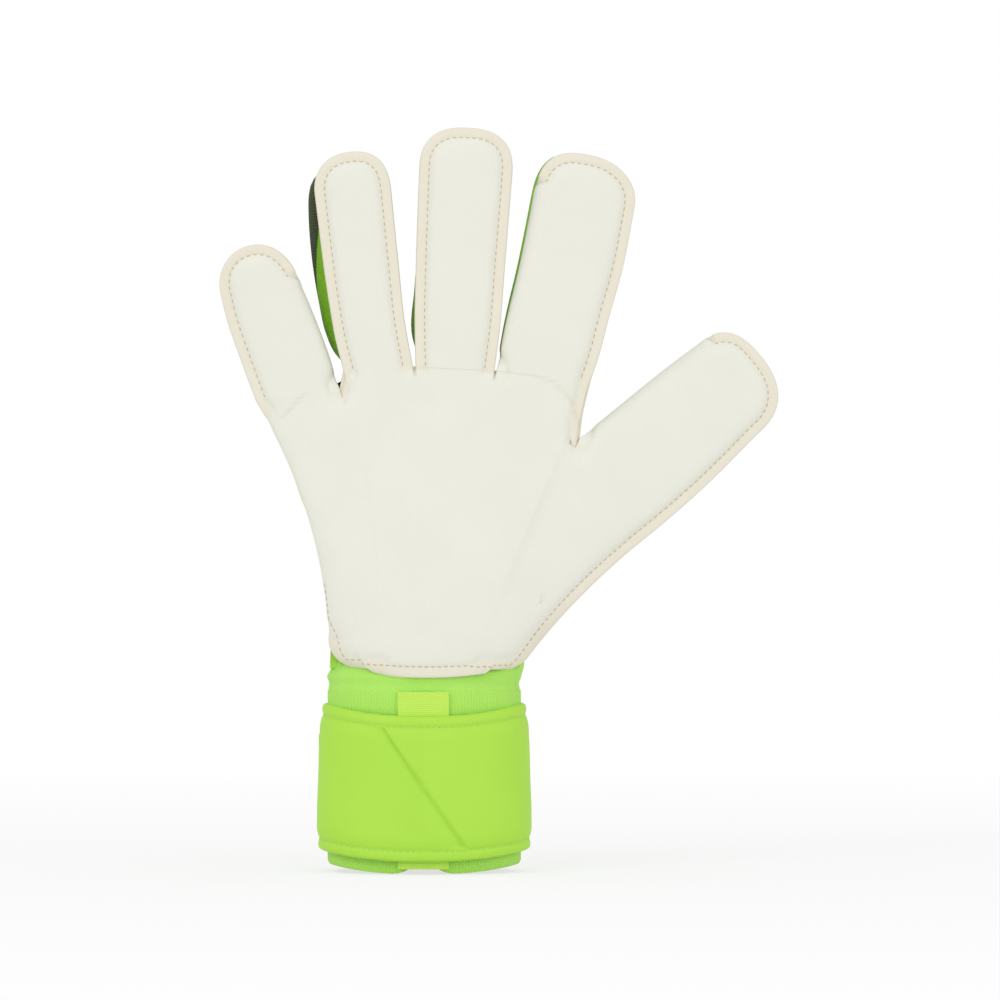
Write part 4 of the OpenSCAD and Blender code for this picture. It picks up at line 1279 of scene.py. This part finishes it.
def white_ground(settings):
    """A pale round floor. It shows white, and keeps part of the object's shadow close to it."""
    bpy.ops.object.select_all(action="DESELECT")
    bpy.ops.mesh.primitive_circle_add(vertices=96, radius=6.0, fill_type="NGON", location=(0, 0, 0))
    floor = bpy.context.object
    floor.name = "floor"
    material, tree = new_material("studio ground")
    matt = add(tree, "BsdfDiffuse", {"Color": paint("#f6f6f6")})[0]
    white = add(tree, "Emission", {"Color": (1, 1, 1, 1), "Strength": 1.0})[0]
    path = add(tree, "LightPath")
    seen = maths(tree, "MAXIMUM", path["Is Camera Ray"],
                 maths(tree, "MAXIMUM", path["Is Glossy Ray"], path["Is Transmission Ray"]))
    far = add(tree, "VectorMath", {0: add(tree, "TexCoord")["Object"]}, operation="LENGTH")["Value"]
    lifted = add(tree, "MapRange", {"Value": far, "From Min": 0.1, "From Max": 0.9,
                                    "To Min": settings.whiteness, "To Max": 1.0})[0]
    both = add(tree, "MixShader", {0: maths(tree, "MULTIPLY", seen, lifted), 1: matt, 2: white})[0]
    out = tree.nodes.new("ShaderNodeOutputMaterial")
    tree.links.new(both, out.inputs["Surface"])
    floor.data.materials.append(material)


def world_light(settings):
    """Even light from all round, white where the camera sees it."""
    world = bpy.data.worlds.new("studio")
    bpy.context.scene.world = world
    world.use_nodes = True
    tree = world.node_tree
    tree.nodes.clear()
    path = add(tree, "LightPath")
    strength = maths(tree, "MULTIPLY_ADD", path["Is Camera Ray"], 1.0 - settings.sky, settings.sky)
    back = add(tree, "Background", {"Color": (1, 1, 1, 1), "Strength": strength})[0]
    out = tree.nodes.new("ShaderNodeOutputWorld")
    tree.links.new(back, out.inputs["Surface"])


# ---------------------------------------------------------------- the add-on

def length_setting(name, description, default):
    """A length in metres that can't be negative."""
    return bpy.props.FloatProperty(name=name, description=description, default=default * MM, min=0.0,
                                   precision=5, unit="LENGTH")


class GloveSewingSettings(bpy.types.PropertyGroup):
    pitch: length_setting("Stitch pitch", "From one stitch to the next", 2.4)
    length: length_setting("Stitch length", "Length of one stitch", 1.75)
    radius: length_setting("Thread radius", "Half the thread's thickness on the palm", 0.2)
    seam_depth: length_setting("Seam depth", "How far the palm's sewn lines sink in", 0.3)
    channel_depth: length_setting("Channel depth", "How far the backhand's channels sink in", 1.1)
    hem: length_setting("Hem", "From the strap's edge to its row of stitches", 3.9)
    groove_depth: length_setting("Groove depth", "How deep the strap's slanting groove is pressed", 1.5)


class GloveStageSettings(bpy.types.PropertyGroup):
    lens: bpy.props.FloatProperty(name="Lens", description="Focal length of the camera in millimetres",
                                  default=230.0, min=50.0, unit="CAMERA")
    distance: bpy.props.FloatProperty(name="Distance", description="From the camera to the palm's face",
                                      default=2.4, min=0.5, unit="LENGTH")
    aim_x: bpy.props.FloatProperty(name="Aim across", description="Where the camera looks, across",
                                   default=0.0286, unit="LENGTH")
    aim_z: bpy.props.FloatProperty(name="Aim height", description="Where the camera looks, upwards",
                                   default=0.1402, unit="LENGTH")
    key: bpy.props.FloatProperty(name="Key lamp", description="Power of the lamp on the left",
                                 default=10.0, min=0.0, unit="POWER")
    fill: bpy.props.FloatProperty(name="Fill lamp", description="Power of the lamp on the right",
                                  default=4.5, min=0.0, unit="POWER")
    sky: bpy.props.FloatProperty(name="Sky", description="Strength of the even light from all round",
                                 default=0.76, min=0.0)
    whiteness: bpy.props.FloatProperty(name="Whiteness", description="How much the floor's shadow is lifted",
                                       default=0.72, min=0.0, max=1.0, subtype="FACTOR")


class GloveOperator(bpy.types.Operator):
    bl_options = {"REGISTER", "UNDO"}


class OBJECT_OT_glove_latex(GloveOperator):
    """Makes the palm and the stalls' latex"""
    bl_idname = "object.glove_latex"
    bl_label = "Latex"

    def execute(self, context):
        stalls = make_stalls()
        palm = hand_latex(stalls)
        for stall in stalls.values():
            for i in range(len(stall.segments)):
                stall_latex(stall, i)
        hand_lining(palm)
        return {"FINISHED"}


class OBJECT_OT_glove_back(GloveOperator):
    """Makes the padded backhand and the stalls' backs"""
    bl_idname = "object.glove_back"
    bl_label = "Back"

    def execute(self, context):
        stalls = make_stalls()
        hand_panel(stalls)
        for stall in stalls.values():
            for i in range(len(stall.segments)):
                stall_back(stall, i)
        return {"FINISHED"}


class OBJECT_OT_glove_gussets(GloveOperator):
    """Makes the stretch gussets and webs"""
    bl_idname = "object.glove_gussets"
    bl_label = "Gussets"

    def execute(self, context):
        stalls = make_stalls()
        for stall in stalls.values():
            for i in range(len(stall.segments)):
                stall_gusset(stall, i)
        webs(stalls)
        return {"FINISHED"}


class OBJECT_OT_glove_cuff(GloveOperator):
    """Makes the yoke, the elastic and the tab over its slit"""
    bl_idname = "object.glove_cuff"
    bl_label = "Cuff"

    def execute(self, context):
        yoke()
        elastic()
        tab_over_slit()
        return {"FINISHED"}


class OBJECT_OT_glove_strap(GloveOperator):
    """Makes the wrist strap and its closure"""
    bl_idname = "object.glove_strap"
    bl_label = "Strap"

    def execute(self, context):
        strap_band()
        closure()
        return {"FINISHED"}


class OBJECT_OT_glove_stage(GloveOperator):
    """Makes the floor, the lamps and the camera"""
    bl_idname = "object.glove_stage"
    bl_label = "Stage"

    def execute(self, context):
        settings = context.scene.glove_stage
        camera_at(settings)
        aim = (0.03, 0.0, 0.14)
        lamp("key", (-1.1, -1.6, 1.5), aim, 1.2, settings.key)
        lamp("fill", (1.3, -1.5, 0.6), aim, 1.2, settings.fill)
        white_ground(settings)
        world_light(settings)
        bpy.context.scene.view_settings.view_transform = "Standard"
        return {"FINISHED"}


class VIEW3D_PT_glove(bpy.types.Panel):
    bl_label = "Glove"
    bl_space_type = "VIEW_3D"
    bl_region_type = "UI"
    bl_category = "Glove"

    def draw(self, context):
        for operator in OPERATORS:
            self.layout.operator(operator.bl_idname)
        for settings in (context.scene.glove_sewing, context.scene.glove_stage):
            for key in type(settings).__annotations__:
                self.layout.prop(settings, key)


OPERATORS = [OBJECT_OT_glove_latex, OBJECT_OT_glove_back, OBJECT_OT_glove_gussets,
             OBJECT_OT_glove_cuff, OBJECT_OT_glove_strap, OBJECT_OT_glove_stage]
CLASSES = [GloveSewingSettings, GloveStageSettings, *OPERATORS, VIEW3D_PT_glove]


def register():
    for cls in CLASSES:
        bpy.utils.register_class(cls)
    bpy.types.Scene.glove_sewing = bpy.props.PointerProperty(type=GloveSewingSettings)
    bpy.types.Scene.glove_stage = bpy.props.PointerProperty(type=GloveStageSettings)


def unregister():
    del bpy.types.Scene.glove_stage
    del bpy.types.Scene.glove_sewing
    for cls in reversed(CLASSES):
        bpy.utils.unregister_class(cls)


def main():
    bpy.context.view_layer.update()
    register()
    make_materials()
    bpy.ops.object.glove_latex()
    bpy.ops.object.glove_back()
    bpy.ops.object.glove_gussets()
    bpy.ops.object.glove_cuff()
    bpy.ops.object.glove_strap()
    bpy.ops.object.glove_stage()


if __name__ == "__main__":
    main()
